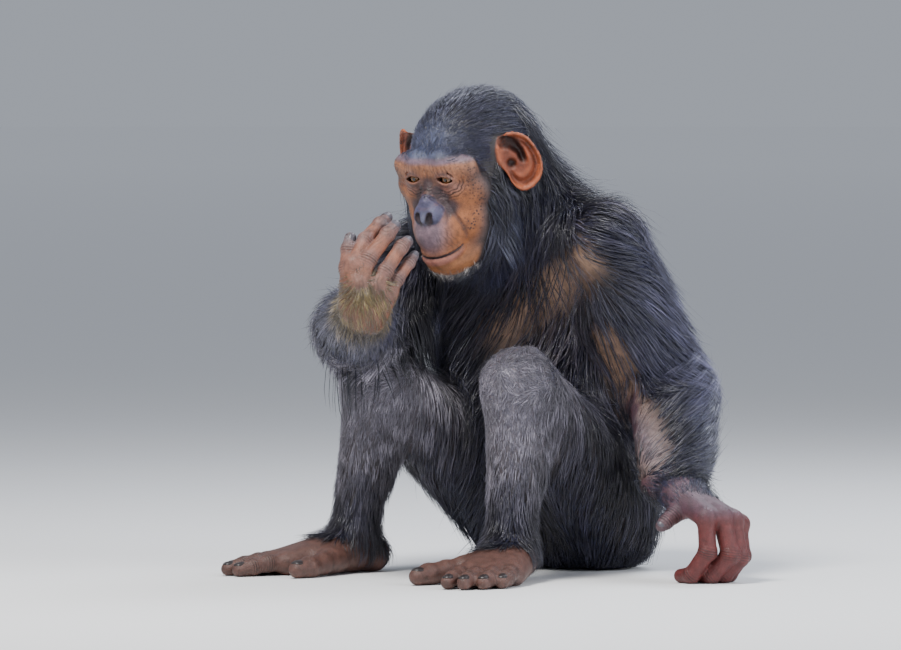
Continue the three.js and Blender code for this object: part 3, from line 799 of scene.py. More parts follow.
def painted(tone, colour, mask):
    """Tones with a colour laid over them as strongly as the mask says."""
    mask = mask[:, None]
    return tone * (1 - mask) + np.array(linear(colour), dtype=np.float32) * mask


def near_any(p, spots, spread):
    """1 at any of a few spots, falling off round each."""
    mask = np.zeros(len(p), dtype=np.float32)
    for spot in spots:
        mask = np.maximum(mask, np.exp(-((p - place(*spot)) ** 2).sum(1) / spread**2))
    return mask


BARE_FACE_BACK = 42
BROW_TOP = 26


def bareness(q):
    """How far a place on the head lies inside the bare face, whose edge runs from the brow's top down
    the cheeks and round under the chin."""
    edge = BARE_FACE_BACK + 7 * ((q[:, 2] + 35) / 50) ** 2
    return np.minimum(q[:, 1] - edge, BROW_TOP - q[:, 2])


THIN_RUNS = {
    "chest": ([(-58, 258), (-26, 282), (8, 308)], 26),
    "armpit": ([(20, 328), (32, 322)], 15),
    "arm": ([(48, 246), (66, 208), (80, 166), (94, 128)], 17),
}


def thin_coat(p):
    """Where the fair skin shows through the coat: beside the chest, under the arm and inside it."""
    across = p[:, 0] * math.cos(VIEW_TURN) + p[:, 1] * math.sin(VIEW_TURN)
    near = p[:, 0] * math.sin(VIEW_TURN) - p[:, 1] * math.cos(VIEW_TURN)
    mask = np.zeros(len(p), dtype=np.float32)
    off_arm = np.minimum(limb_field["left"]["upper_arm"](p), limb_field["left"]["forearm"](p))
    for name, (run, half) in THIN_RUNS.items():
        reach = smooth_step(off_arm, 16, 8) if name == "arm" else 1
        for (x0, z0), (x1, z1) in zip(run[:-1], run[1:]):
            dx, dz = x1 - x0, z1 - z0
            t = np.clip(((across - x0) * dx + (p[:, 2] - z0) * dz) / (dx**2 + dz**2), 0, 1)
            off = np.hypot(across - x0 - t * dx, p[:, 2] - z0 - t * dz)
            mask = np.maximum(mask, reach * bell(off, 0, half))
    return mask * smooth_step(near, 20, 60)


HAIRY_SKIN = "#2b2528"
SCALP_SHEEN = "#4d5470"
KNEE_SKIN = "#77707a"
THIN_SKIN = "#a5856f"
THIN_ARM_SKIN = "#786a70"
FACE = "#9c5f38"
FACE_EDGE_SHADE = "#54403c"
BROW = "#a46e50"
BROW_SHEEN = "#75667a"
LID = "#86625a"
UNDER_EYE = "#b08075"
CREASE_SHADE = "#33272d"
MUZZLE = "#83707d"
SHADE_BESIDE_NOSE = "#2c2731"
NOSE = "#414867"
NOSE_TIP_HIGHLIGHT = "#8a8a9c"
LIP = "#a96e6c"
CHIN = "#96603b"
EAR = "#a85a38"
EAR_BOWL_SHADE = "#2c1410"
EAR_INNER_SHADE = "#6c321f"
RIGHT_HAND = "#8f5a44"
HAIRY_WRIST = "#4f4537"
LEFT_HAND = "#622a28"
LEFT_HAND_BACK = "#54434f"
DIGIT_GREY = "#5d626c"
FOOT = "#5d4038"
NOSE_SIDE_RUN = [(0, 0), (8, -8), (14, -16), (21, -24)]
FACE_SPOT = (25, 69, -28)


def skin_tones(p):
    """The skin's colour from place to place, mixed from the named tones, with painted shade in the creases
    and hollows of the face and ears and painted sheen and highlights on the forehead, brow and nose.
    """
    tone = np.tile(np.array(linear(HAIRY_SKIN), dtype=np.float32), (len(p), 1))

    def paint(colour, mask, strength=1.0):
        nonlocal tone
        tone = painted(tone, colour, np.clip(mask, 0, 1) * strength)

    q = on_head(p)
    side, forward, high = np.abs(q[:, 0]), q[:, 1], q[:, 2]
    on_skull = smooth_step(skull_field(q), 14, 6)
    paint(THIN_SKIN, thin_coat(p))
    paint(THIN_ARM_SKIN, thin_coat(p) * smooth_step(p[:, 2], 205, 150))
    paint(KNEE_SKIN, near_any(p, [KNEE["left"], KNEE["right"]], 70))
    forehead = bell(q[:, 0] + 4, 0, 30) * smooth_step(high, 20, 26) * smooth_step(forward, 30, 45)
    # Painted sheen: the bare forehead skin made paler and bluish where skylight glances off it.
    paint(SCALP_SHEEN, on_skull * forehead)
    bare = on_skull * smooth_step(bareness(q), -4, 2)
    # A dark band round the edge of the bare face: partly the dark skin at the hair's edge, partly painted
    # shade.
    paint(FACE_EDGE_SHADE, bare)
    paint(FACE, on_skull * smooth_step(bareness(q), 0, 12))
    paint(BROW, bare * bell(high, 17, 8))
    # Painted sheen: the top of the brow ridge made paler and bluish where light falls on it from above.
    paint(BROW_SHEEN, bare * smooth_step(high, 19, 25), 0.8)
    # Painted shade on the side of the face, beside the eye and the cheek.
    paint(FACE_EDGE_SHADE, bare * bell(side, 47, 9) * bell(high, 4, 16), 0.65)
    paint(CHIN, bare * smooth_step(high, -66, -84))
    round_muzzle = np.hypot(side / 22, (high + 45) / 28)
    muzzle = bare * smooth_step(round_muzzle, 1.3, 0.5)
    paint(MUZZLE, muzzle, 0.9)
    on_nose = smooth_step(nose_field(q), 2.5, 0.5)
    paint(NOSE, bare * on_nose, 0.9)
    # Painted highlight on the tip of the nose.
    paint(NOSE_TIP_HIGHLIGHT, bare * near_any(q, [(0, 88, -34)], 6), 0.7)
    for s in SIDES.values():
        across, out, rise = eye_places(q, s)
        round_eye = np.hypot(across, rise * 1.2)
        below = bell(round_eye, 15, 6) * smooth_step(-rise, 0, 6) * smooth_step(across, -14, -4)
        paint(UNDER_EYE, bare * below, 0.6)
        paint(LID, bare * bell(round_eye, 8, 5), 0.7)
        # Painted shade in the crease above each eye.
        paint(CREASE_SHADE, bare * bell(round_eye, 8.5, 1.6) * bell(across, 0, 7) * smooth_step(out, 2, 6), 0.6)
    # Painted shade between the eyes and down the sides of the nose.
    off_run = np.min([np.hypot(side - x, high - z) for x, z in NOSE_SIDE_RUN], 0)
    paint(SHADE_BESIDE_NOSE, bare * smooth_step(off_run, 13, 4) * (1 - on_nose), 0.9)
    # Painted shade in the furrows beside the nose and down the cheeks.
    for line in nose_folds + cheek_folds:
        paint(CREASE_SHADE, bare * bell(line(q), 0, 1.6), 0.55)
    paint(LIP, bare * bell(lower_lip(q), 0, 1.1) * smooth_step(forward, 50, 60), 0.55)
    paint(LIP, bare * bell(upper_lip(q), -0.5, 0.9), 0.35)
    # Painted shade in the slit between the lips and in a hollow on the cheek fold.
    paint(CREASE_SHADE, bare * bell(mouth_slit(q), 0, 0.8), 0.95)
    paint(CREASE_SHADE, bare * near_any(q, [FACE_SPOT], 5), 0.6)
    # Painted shade inside the nostrils.
    for nostril in nostrils:
        paint(CREASE_SHADE, bare * bell(nostril(q), 0, 1.4), 1.0)
    ear = smooth_step(off_nearer_ear(q), 2, 0.6) * smooth_step(side, 50, 55)
    paint(EAR, ear)
    out, rise, ahead = from_ear(q)
    bowl, canal = ear_hollows(out, rise)
    inner = smooth_step(np.hypot(out - 27, (rise - 4) * 0.8), 26, 14)
    # Painted shade in the hollow of the ear's cup.
    paint(EAR_INNER_SHADE, ear * inner * smooth_step(ahead, 3, -1), 0.8)
    # Painted shade deep in the bowl and the canal of the ear.
    deep = np.maximum(smooth_step(bowl, 11, 5), smooth_step(canal, 7, 2))
    paint(EAR_BOWL_SHADE, ear * deep * smooth_step(ahead, 0, -3), 0.97)
    for side_name, colour in (("right", RIGHT_HAND), ("left", LEFT_HAND)):
        heel, knuckle = place(*WRIST[side_name]), KNUCKLES[side_name]["middle"][0]
        fore = towards(ELBOW[side_name], heel)
        reach = (p - heel) @ fore
        off_arm = np.linalg.norm(p - heel - reach[:, None] * fore, axis=1)
        past_wrist = np.maximum(smooth_step(reach, -26, -8), off_arm > 48)
        on_hand = smooth_step(arm_and_hand(side_name)(p), 4, 1) * past_wrist
        paint(colour, on_hand)
        if side_name == "right":
            paint(HAIRY_WRIST, on_hand * near_any(p, [middle(heel, knuckle, 0.2)], 34), 0.8)
        joints = [joint for digit_joints in KNUCKLES[side_name].values() for joint in digit_joints[:-1]]
        tips = [digit_joints[-1] for digit_joints in KNUCKLES[side_name].values()]
        if side_name == "left":
            paint(LEFT_HAND_BACK, on_hand * smooth_step(p[:, 2], 60, 78), 0.8)
            paint(DIGIT_GREY, on_hand * near_any(p, [KNUCKLES["left"]["thumb"][-1]], 12), 0.6)
        else:
            paint(DIGIT_GREY, on_hand * near_any(p, joints, 9), 0.75)
            paint(DIGIT_GREY, on_hand * near_any(p, tips, 12), 0.95)
        low = smooth_step(past_end(p, KNEE[side_name], ANKLE[side_name]), -4, 10)
        paint(FOOT, smooth_step(foot[side_name](p), 4, 1) * low)
    return tone


DIGIT_FOLD_GAP = 2.7


def finger_folds(p):
    """Cross folds of the fingers and toes: their phase along each digit and their depth at its joints."""
    phase, depth = np.zeros(len(p)), np.zeros(len(p))
    chains = [KNUCKLES[side][finger] for side in SIDES for finger in KNUCKLES[side]]
    chains += [toe_joints(side, toe) for side in SIDES for toe in TOES]
    chains += [[on_foot(side, *joint) for joint in BIG_TOE] for side in SIDES]
    for joints in chains:
        for before, joint, after in zip(joints[:-2], joints[1:-1], joints[2:]):
            way = unit(after - before)
            along = (p - joint) @ way
            off = np.linalg.norm(p - joint - along[:, None] * way, axis=1)
            here = bell(along, 0, 5.5) * smooth_step(off, 13, 9.5)
            nearer = here > depth
            phase = np.where(nearer, along / DIGIT_FOLD_GAP, phase)
            depth = np.where(nearer, here, depth)
    return phase, 0.8 * depth


def fine_folds(p):
    """One phase and depth at each place of the skin. Where two families of folds meet, both fade."""
    families = face_folds(on_head(p)) + [finger_folds(p)]
    phases, depths = np.array([f[0] for f in families]), np.array([f[1] for f in families])
    best = depths.argmax(0)
    sorted_depths = np.sort(depths, 0)
    depth = np.clip(sorted_depths[-1] - 0.8 * sorted_depths[-2], 0, 1)
    return phases[best, np.arange(len(p))], depth


FRECKLED = [(43, 52, 13), (45, 50, -3), (46, 48, -18), (44, 50, -34), (38, 56, -46)]
EAR_FRECKLED = [(84, -8, 20), (88, -14, 2), (70, 8, 27)]
FRECKLE_RANGE = 12


def freckled(p):
    """Where dark freckles gather: down each temple and cheek, near the edge of the bare face."""
    q = on_head(p)
    on_face = near_any(mirrored(q), FRECKLED, FRECKLE_RANGE) * smooth_step(bareness(q), -1, 4)
    return np.maximum(on_face, 0.8 * near_any(mirrored(q), EAR_FRECKLED, FRECKLE_RANGE))


def from_ear(q):
    """Places on the nearer ear: out along it, up, and in front of its plane."""
    x = np.abs(q[:, 0]) - EAR_ROOT[0]
    y = q[:, 1] - EAR_ROOT[1]
    out = x * math.sin(EAR_FLARE) - y * math.cos(EAR_FLARE)
    face = x * math.cos(EAR_FLARE) + y * math.sin(EAR_FLARE)
    return out, q[:, 2] - EAR_ROOT[2], face


def add_node(tree, kind, links=None, **settings):
    """Adds a node, sets its properties or sockets, and links the sockets that links names."""
    node = tree.nodes.new(kind)
    for key, value in settings.items():
        if hasattr(node, key):
            setattr(node, key, value)
        else:
            node.inputs[key.replace("_", " ")].default_value = value
    for socket, source in (links or {}).items():
        tree.links.new(source, node.inputs[socket])
    return node


def new_material(name, **looks):
    """A material, its nodes and its shader, with the shader's inputs set as looks says."""
    material = bpy.data.materials.new(name)
    material.use_nodes = True
    shader = material.node_tree.nodes["Principled BSDF"]
    for key, value in looks.items():
        shader.inputs[key.replace("_", " ")].default_value = value
    return material, material.node_tree, shader


def set_values(obj, label, values):
    """Stores one number or one colour for each point of a mesh."""
    values = np.asarray(values, dtype=np.float32)
    if values.ndim == 1:
        obj.data.attributes.new(label, "FLOAT", "POINT").data.foreach_set("value", values)
    else:
        whole = np.column_stack([values, np.ones(len(values), dtype=np.float32)])
        obj.data.attributes.new(label, "FLOAT_COLOR", "POINT").data.foreach_set("color", whole.ravel())


fold_phase, fold_depth = fine_folds(skin_points)
set_values(skin, "tone", skin_tones(skin_points))
set_values(skin, "freckles", freckled(skin_points))
set_values(skin, "fold_phase", fold_phase)
set_values(skin, "fold_depth", fold_depth)

# Living skin: matt, a little light passing through it, pored all over and mottled from spot to spot.
# Its folds are narrow lines darkened with painted shade, and their relief catches the light along their
# edges; the fine crinkles carry a little painted shade too.
FRECKLE = "#2c2024"
MOTTLE_SIZE = 7 * MM
PORE_SIZE = 2.2 * MM
CRINKLE_SIZE = 4.2 * MM
FRECKLE_APART = 3.1 * MM
FRECKLE_SIZE = 0.45
FOLD_SHADE, FOLD_RELIEF = 0.85, 2.5
CRINKLE_SHADE, CRINKLE_RELIEF = 0.13, 0.45
hide, tree, shader = new_material("bare_skin", Roughness=0.5, Subsurface_Weight=0.06, Subsurface_Scale=0.004)


def joined(tree, operation, first, second):
    """A maths step on two values, each a socket or a number."""
    node = tree.nodes.new("ShaderNodeMath")
    node.operation = operation
    for slot, value in enumerate((first, second)):
        if isinstance(value, (int, float)):
            node.inputs[slot].default_value = value
        else:
            tree.links.new(value, node.inputs[slot])
    return node.outputs["Value"]


def held(tree, label, output="Fac"):
    return add_node(tree, "ShaderNodeAttribute", attribute_name=label).outputs[output]


places = add_node(tree, "ShaderNodeTexCoord")
here = {"Vector": places.outputs["Object"]}
mottle = add_node(tree, "ShaderNodeTexNoise", here, Scale=1 / MOTTLE_SIZE, Detail=5.0)
mottle_range = {"From_Min": 0.3, "From_Max": 0.7, "To_Min": 0.68, "To_Max": 1.26}
mottled = add_node(tree, "ShaderNodeMapRange", {"Value": mottle.outputs["Fac"]}, **mottle_range)
wave = joined(tree, "COSINE", joined(tree, "MULTIPLY", held(tree, "fold_phase"), 2 * math.pi), 0)
valley = joined(tree, "POWER", joined(tree, "MULTIPLY", joined(tree, "ADD", wave, 1), 0.5), 2.2)
valley = joined(tree, "MULTIPLY", valley, held(tree, "fold_depth"))
bent = add_node(tree, "ShaderNodeTexNoise", here, Scale=0.6 / CRINKLE_SIZE, Detail=2.0)
astray = add_node(tree, "ShaderNodeVectorMath", operation="SCALE")
astray.inputs["Scale"].default_value = CRINKLE_SIZE
tree.links.new(bent.outputs["Color"], astray.inputs[0])
moved = add_node(tree, "ShaderNodeVectorMath", {0: places.outputs["Object"], 1: astray.outputs["Vector"]})
crinkles = add_node(tree, "ShaderNodeTexVoronoi", {"Vector": moved.outputs["Vector"]},
                    feature="DISTANCE_TO_EDGE", Scale=1 / CRINKLE_SIZE)
crinkle = add_node(tree, "ShaderNodeMapRange", {"Value": crinkles.outputs["Distance"]}, From_Max=0.09,
                   To_Min=1.0, To_Max=0.0)
crinkled = crinkle.outputs["Result"]
# Painted shade: the base colour darkened in the fold valleys and along the crinkle lines.
shade_in_folds = joined(tree, "MULTIPLY", valley, FOLD_SHADE)
dark = joined(tree, "ADD", shade_in_folds, joined(tree, "MULTIPLY", crinkled, CRINKLE_SHADE))
shade = joined(tree, "MULTIPLY", mottled.outputs["Result"], joined(tree, "SUBTRACT", 1, dark))
varied = add_node(tree, "ShaderNodeVectorMath", operation="SCALE")
tree.links.new(held(tree, "tone", "Color"), varied.inputs[0])
tree.links.new(shade, varied.inputs["Scale"])
spots = add_node(tree, "ShaderNodeTexVoronoi", here, Scale=1 / FRECKLE_APART)
spot_range = {"From_Min": FRECKLE_SIZE, "From_Max": FRECKLE_SIZE * 0.6}
spot_mask = add_node(tree, "ShaderNodeMapRange", {"Value": spots.outputs["Distance"]}, **spot_range)
freckle = joined(tree, "MULTIPLY", spot_mask.outputs["Result"], held(tree, "freckles"))
speckled = {"Fac": freckle, "Color1": varied.outputs["Vector"]}
mixed = add_node(tree, "ShaderNodeMixRGB", speckled, Color2=(*linear(FRECKLE), 1))
tree.links.new(mixed.outputs["Color"], shader.inputs["Base Color"])
pores = add_node(tree, "ShaderNodeTexVoronoi", here, feature="DISTANCE_TO_EDGE", Scale=1 / PORE_SIZE)
pore_depth = add_node(tree, "ShaderNodeMapRange", {"Value": pores.outputs["Distance"]}, From_Max=0.25)
furrows = joined(tree, "MULTIPLY", crinkled, CRINKLE_RELIEF)
furrows = joined(tree, "ADD", joined(tree, "MULTIPLY", valley, FOLD_RELIEF), furrows)
height = joined(tree, "SUBTRACT", pore_depth.outputs["Result"], furrows)
relief = add_node(tree, "ShaderNodeBump", {"Height": height}, Strength=0.5, Distance=0.0004)
tree.links.new(relief.outputs["Normal"], shader.inputs["Normal"])
skin.data.materials.append(hide)


# Eyes. Wet balls that the lids wrap, with a clear bulge over an amber iris. The white is dark brown, as
# it is in this animal, so little of it shows.
IRIS_EDGE = 0.56
PUPIL_EDGE = 0.2
CORNEA_BULGE = 0.7
GAZE = (0.1, 1, -0.06)
PUPIL = "#070504"
IRIS = "#7d5630"
IRIS_RIM = "#2a180c"
WHITE = "#2a1c16"
EYE_ROUND, EYE_RISE = 64, 48


def eyeball(side):
    """One eye in rings round its gaze, closest where the iris and the pupil end."""
    gaze = unit(HEAD_AXES @ place(*GAZE))
    across = unit(np.cross(gaze, up))
    over = np.cross(across, gaze)
    off = np.linspace(0, np.pi, EYE_RISE + 1)[1:-1] ** 1.25 / np.pi**0.25
    turn = np.arange(EYE_ROUND) * 2 * np.pi / EYE_ROUND
    ring_off = np.repeat(off, EYE_ROUND)
    ring_turn = np.tile(turn, len(off))
    all_off = np.concatenate([[0], ring_off, [np.pi]])
    all_turn = np.concatenate([[0], ring_turn, [0]])
    bulge = smooth_step(all_off, IRIS_EDGE * 1.25, IRIS_EDGE * 0.3)
    radius = EYE_RADIUS - CORNEA_BULGE + CORNEA_BULGE * bulge
    flat = np.cos(all_turn)[:, None] * across + np.sin(all_turn)[:, None] * over
    ways = np.cos(all_off)[:, None] * gaze + np.sin(all_off)[:, None] * flat
    centre = from_head(EYE * np.array([SIDES[side], 1, 1]))
    points = centre + radius[:, None] * ways
    obj = build_mesh(f"eyeball_{side}", points, *ring_faces(EYE_ROUND, len(off)))
    tone = np.array(linear(WHITE)) + 0 * all_off[:, None]
    rings = ((IRIS_RIM, IRIS_EDGE, 0.05), (IRIS, IRIS_EDGE - 0.07, 0.08), (PUPIL, PUPIL_EDGE, 0.03))
    for colour, edge, soft in rings:
        mask = smooth_step(all_off, edge + soft, edge - soft)[:, None]
        tone = tone * (1 - mask) + np.array(linear(colour)) * mask
    set_values(obj, "tone", tone)
    return obj


wet_look = {"Roughness": 0.12, "IOR": 1.38, "Coat_Weight": 0.6, "Coat_Roughness": 0.03}
wet_eye, tree, shader = new_material("wet_eye", **wet_look)
tree.links.new(held(tree, "tone", "Color"), shader.inputs["Base Color"])
for side in SIDES:
    ball = eyeball(side)
    ball.data.materials.append(wet_eye)
    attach(ball, "root")
    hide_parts(f"eye_{side}")


# Nails. Flat dark horn plates, one grown into the back of each fingertip and toe tip. Each follows the
# round of its digit and stands a hair's breadth proud of the skin.
NAIL_LENGTH = 0.9
NAIL_SETBACK = 0.2
NAIL_ARC = math.radians(52)
NAIL_RISE = 0.35
NAIL_DEPTH = 0.8
NAIL_ROUND, NAIL_RINGS = 20, 5
NAIL_GREY = "#57535a"
NAIL_DARK = "#2f2929"
THUMB_BACKS = {"right": seen(0.6, 0.75, 0.3), "left": seen(-0.3, 0.9, 0.45)}


def nail_plate(tip, way, back, radius):
    """Points and faces of one closed plate, its length and arc measured by the digit's radius."""
    back = unit(back - (back @ way) * way)
    side = np.cross(way, back)
    turn = np.arange(NAIL_ROUND) * 2 * np.pi / NAIL_ROUND
    rings = []
    for layer in (1, -1):
        for ring in range(NAIL_RINGS):
            share = (ring + 0.5) / NAIL_RINGS if layer == 1 else 1 - ring / NAIL_RINGS
            along = NAIL_LENGTH * radius * share * np.cos(turn)
            arc = NAIL_ARC * share * np.sin(turn) * (1 + 0.12 * np.cos(turn) ** 2)
            dome = NAIL_RISE * (1 - share**4)
            high = radius + (dome if layer == 1 else dome - NAIL_DEPTH * (1 - 0.7 * share**6))
            along = along - NAIL_SETBACK * radius
            over_tip = np.maximum(along, 0) / radius
            flat = np.sin(arc)[:, None] * side + np.cos(arc)[:, None] * back
            ahead = np.minimum(along, 0) + high * np.sin(over_tip)
            rings.append(tip + ahead[:, None] * way + (high * np.cos(over_tip))[:, None] * flat)
    points = np.concatenate([rings[0].mean(0)[None], *rings, rings[-1].mean(0)[None]])
    points[:, 2] = np.maximum(points[:, 2], FLOOR_CLEAR)
    return points, *ring_faces(NAIL_ROUND, len(rings))


def bend_back(joints):
    """The outer side of a bent finger at its last joint."""
    return joints[2] - (joints[1] + joints[3]) / 2


nail_paint = {
    name: new_material(name, Base_Color=(*linear(colour), 1), Roughness=0.34)[0]
    for name, colour in (("grey_nail", NAIL_GREY), ("dark_nail", NAIL_DARK))
}

for side in SIDES:
    plates = []
    for finger, girth in FINGERS.items():
        joints = KNUCKLES[side][finger]
        plates.append((joints, bend_back(joints), girth * TIP_SHARE))
    plates.append((KNUCKLES[side]["thumb"], THUMB_BACKS[side], THUMB_RADII[-1]))
    feet = [([on_foot(side, *joint) for joint in BIG_TOE], up, BIG_TOE_RADII[-1])]
    feet += [(toe_joints(side, toe), up, TOE_RADII[-1]) for toe in TOES]
    for part, digits, paint in (("finger", plates, "grey_nail"), ("toe", feet, "dark_nail")):
        made = [nail_plate(joints[-1], unit(joints[-1] - joints[-2]), back, r) for joints, back, r in digits]
        nails = build_mesh(f"{part}_nails_{side}", *join_surfaces(made))
        nails.data.materials.append(nail_paint[paint])
        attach(nails, "root")


# Coat. Long straight black hair, coarse and glossy, thin over fair skin. It lies in flat tapered locks
# that run back over the skull, down the trunk and out along the limbs, gathered a little at their tips.
COAT_LOW = place(-310, -400, -20)
COAT_HIGH = place(310, 200, 540)
COAT_STEP = 5


def body(p):
    """The whole skin, with the hands and the feet, that the hair lies on."""
    d = flesh(p)
    for side in SIDES:
        for part, centre, reach in ((hand, HAND_MIDDLE, 110), (foot, ANKLE, 150)):
            near = np.linalg.norm(p - centre[side], axis=1) < reach
            d[near] = melt(d[near], part[side](p[near]), 10)
    return d


cells = ((COAT_HIGH - COAT_LOW) / COAT_STEP).astype(int)
spots = np.indices(cells).reshape(3, -1).T * COAT_STEP
coat_grid = np.concatenate(
    [body(COAT_LOW + part.astype(np.float32)) for part in np.array_split(spots, 12)]
).reshape(cells)
coat_slopes = np.stack(np.gradient(coat_grid, COAT_STEP), -1)
coat_slopes /= np.linalg.norm(coat_slopes, axis=-1, keepdims=True) + 1e-6
coat_grid = np.concatenate([coat_grid[..., None], coat_slopes], -1).astype(np.float32)
dice = np.random.default_rng(11)


def off_skin(p):
    """Height above the skin and the way that leads straight off it."""
    values = sample(coat_grid, COAT_LOW, COAT_STEP, p)
    out = values[:, 1:]
    return values[:, :1], out / (np.linalg.norm(out, axis=1, keepdims=True) + 1e-6)


def across_of(a, b):
    return np.cross(a, b) / (np.linalg.norm(np.cross(a, b), axis=1, keepdims=True) + 1e-6)


def roots_round(field, start, end, front, count, radius):
    """Roots spread evenly over one stretch of the body, with their places on its unrolled shape."""
    start, end = place(*start), place(*end)
    axis = end - start
    length = np.linalg.norm(axis)
    axis = axis / length
    front = unit(place(*front) - np.dot(place(*front), axis) * axis)
    side = np.cross(axis, front)
    cap = radius * math.pi / 2
    run = dice.random(count) * (length + 2 * cap)
    turn = dice.random(count) * 2 * np.pi
    past = np.where(run < cap, run / cap - 1, np.maximum((run - length - cap) / cap, 0))
    rise = past * np.pi / 2
    kept = np.flatnonzero(dice.random(count) < np.cos(rise))
    run, turn, rise = run[kept], turn[kept], rise[kept]
    flat = np.cos(turn)[:, None] * front + np.sin(turn)[:, None] * side
    ways = np.cos(rise)[:, None] * flat + np.sin(rise)[:, None] * axis
    origins = start + np.clip(run - cap, 0, length)[:, None] * axis
    roots = march(field, origins.astype(np.float32), ways.astype(np.float32), 40)
    unrolled = np.stack([turn / (2 * np.pi), run / (length + 2 * cap)], 1)
    for _ in range(2):
        height, out = off_skin(roots)
        shown = height[:, 0] > -16
        roots, unrolled = roots[shown] - out[shown] * height[shown], unrolled[shown]
    return roots.astype(np.float32), unrolled


def comb(roots, flow, length, lift, steps, swerve):
    """The line of each lock: it leaves the skin slowly and follows the lie of the coat."""
    at = roots.copy()
    crowd = dice.random(len(roots))
    depth = np.minimum(1.5, 0.3 + 0.4 * lift)
    line = []
    for i in range(steps + 1):
        share = i / steps
        for _ in range(2):
            height, out = off_skin(at)
            at = at - out * (height - (lift * share - depth * (1 - share))[:, None])
        at[:, 2] = np.maximum(at[:, 2], 1.5 + 4 * share * crowd)
        line.append(at.copy())
        way = flow(at)
        way = way - np.einsum("ij,ij->i", way, out)[:, None] * out
        way /= np.linalg.norm(way, axis=1, keepdims=True) + 1e-6
        side = np.cross(out, way)
        bend = swerve * (1 - 0.6 * share)
        way = way * np.cos(bend)[:, None] + side * np.sin(bend)[:, None]
        at = at + way * (length / steps)[:, None]
    return np.stack(line, 1)


def hang(roots, way, length, steps, swerve):
    """The line of each lock that hangs free: it leaves the skin and bends over to its way."""
    height, out = off_skin(roots)
    at = roots - 1.5 * out
    line = [at]
    for i in range(steps):
        share = (i + 1) / steps
        lean = way + (0.9 - share) * out + 0.5 * swerve[:, None] * place(1, 0, 0)
        at = at + lean / np.linalg.norm(lean, axis=1, keepdims=True) * (length / steps)[:, None]
        height, off = off_skin(at)
        at = at + off * np.maximum(2 - height, 0)
        line.append(at)
    return np.stack(line, 1)


def gather(lines, every, pull):
    """Draws the tips of neighbouring locks towards a common lock, and tells which lock that is."""
    leaders = lines[::every]
    nearest = np.concatenate(
        [
            np.argmin(((part[:, None, 1] - leaders[None, :, 1]) ** 2).sum(-1), 1)
            for part in np.array_split(lines, max(1, len(lines) // 1500))
        ]
    )
    share = np.linspace(0, 1, lines.shape[1])[None, :, None] ** 1.6
    target = leaders[nearest]
    return lines + (target - lines) * share * pull[:, None, None], nearest


EAR_CLEARANCE = 3.5


def clear_of_ears(lines):
    """Whether each lock keeps out of the ears."""
    apart = off_nearer_ear(on_head(lines[:, 1:].reshape(-1, 3)))
    return apart.reshape(len(lines), -1).min(1) > EAR_CLEARANCE


def short_of_thin(lines, lengths):
    """Lengths that let most locks end before they would lie across a thin stretch of the coat."""
    thin = thin_coat(lines.reshape(-1, 3)).reshape(len(lines), -1) > 0.35
    reached = thin.any(1) & ~thin[:, 0] & (dice.random(len(lines)) < 0.85)
    steps = lines.shape[1] - 1
    return np.where(reached, lengths * (thin.argmax(1) - 0.4) / steps, lengths)


def clear_of_thin(lines):
    """Which locks to keep where the coat is thin at their root, and how much finer they are there."""
    thin = smooth_step(thin_coat(lines[:, 0]), 0.25, 0.7)
    return dice.random(len(lines)) > 0.85 * thin, 1 - 0.5 * thin


def lock_mesh(name, lines, width, unrolled, tone):
    """All locks of a piece as one mesh: flat three-sided blades that taper to a point."""
    count, knots, _ = lines.shape
    steps = knots - 1
    ways = np.gradient(lines, axis=1)
    _, out = off_skin(lines.reshape(-1, 3))
    flat_ways = ways.reshape(-1, 3)
    across = across_of(flat_ways, out)
    lifted = across_of(across, flat_ways).reshape(lines.shape)
    across = across.reshape(lines.shape)
    share = np.linspace(0, 1, knots)[None, :]
    half = (0.5 * width[:, None] * (1 - share) ** 0.6 * (0.75 + 0.5 * share))[..., None]
    corners = np.stack([lines - half * across, lines + half * across, lines + 0.7 * half * lifted], 2)
    body_points = corners[:, :steps].reshape(count, steps * 3, 3)
    points = np.concatenate([body_points, lines[:, -1:]], 1)
    size = steps * 3 + 1
    faces = [[0, 1, 2]]
    for i in range(steps - 1):
        for j in range(3):
            a, b = i * 3 + j, i * 3 + (j + 1) % 3
            faces += [[a, a + 3, b], [b, a + 3, b + 3]]
    for j in range(3):
        faces.append([(steps - 1) * 3 + j, size - 1, (steps - 1) * 3 + (j + 1) % 3])
    faces = np.array(faces)
    every = (faces[None] + (np.arange(count) * size)[:, None, None]).reshape(-1, 3)
    obj = build_mesh(name, points.reshape(-1, 3), every)
    patch = np.stack([np.tile([0, 1, 0.5], steps), np.repeat(np.arange(steps) / steps, 3)], 1)
    patch = np.concatenate([patch, [[0.5, 1]]]) * 0.003
    places = (unrolled[:, None] * 0.994 + patch[None]).reshape(-1, 2)
    layer = obj.data.uv_layers.new(name="OFBake")
    layer.data.foreach_set("uv", places[every.ravel()].astype(np.float32).ravel())
    along = np.concatenate([np.repeat(np.arange(steps) / steps, 3), [1]])
    shades = (tone[:, None] * (0.75 + 0.5 * along)[None, :, None]).reshape(-1, 3)
    set_values(obj, "tone", shades)
    return obj


BLACK_HAIR = "#25232d"
FOREHEAD_SHEEN_HAIR = "#474c62"
SHADED_HAIR = "#0f0e13"
LIT_ARM_HAIR = "#59586e"
BROWN_HAIR = "#3d2f2d"
CHEEK_SHEEN_HAIR = "#40424f"
KNEE_HAIR = "#8b8690"
LIT_FAR_KNEE_HAIR = "#9c97a1"
FOREARM_HAIR = "#5a5a68"
WRIST_HAIR = "#94804f"
CHIN_HAIR = "#bfb6ae"


def over_wrist(p):
    """Where the short hair on the back of the raised hand grows."""
    return near_any(p, [middle(WRIST["right"], KNUCKLES["right"]["middle"][0], 0.3)], 38)


def over_knees(p):
    """Where the short grey hair on the knees and the tops of the shins grows."""
    forward = place(0, -20, 0)
    spots = [middle(KNEE[side], ANKLE[side], share) + forward for side in SIDES for share in (0, 0.25)]
    return near_any(p, spots, 62)


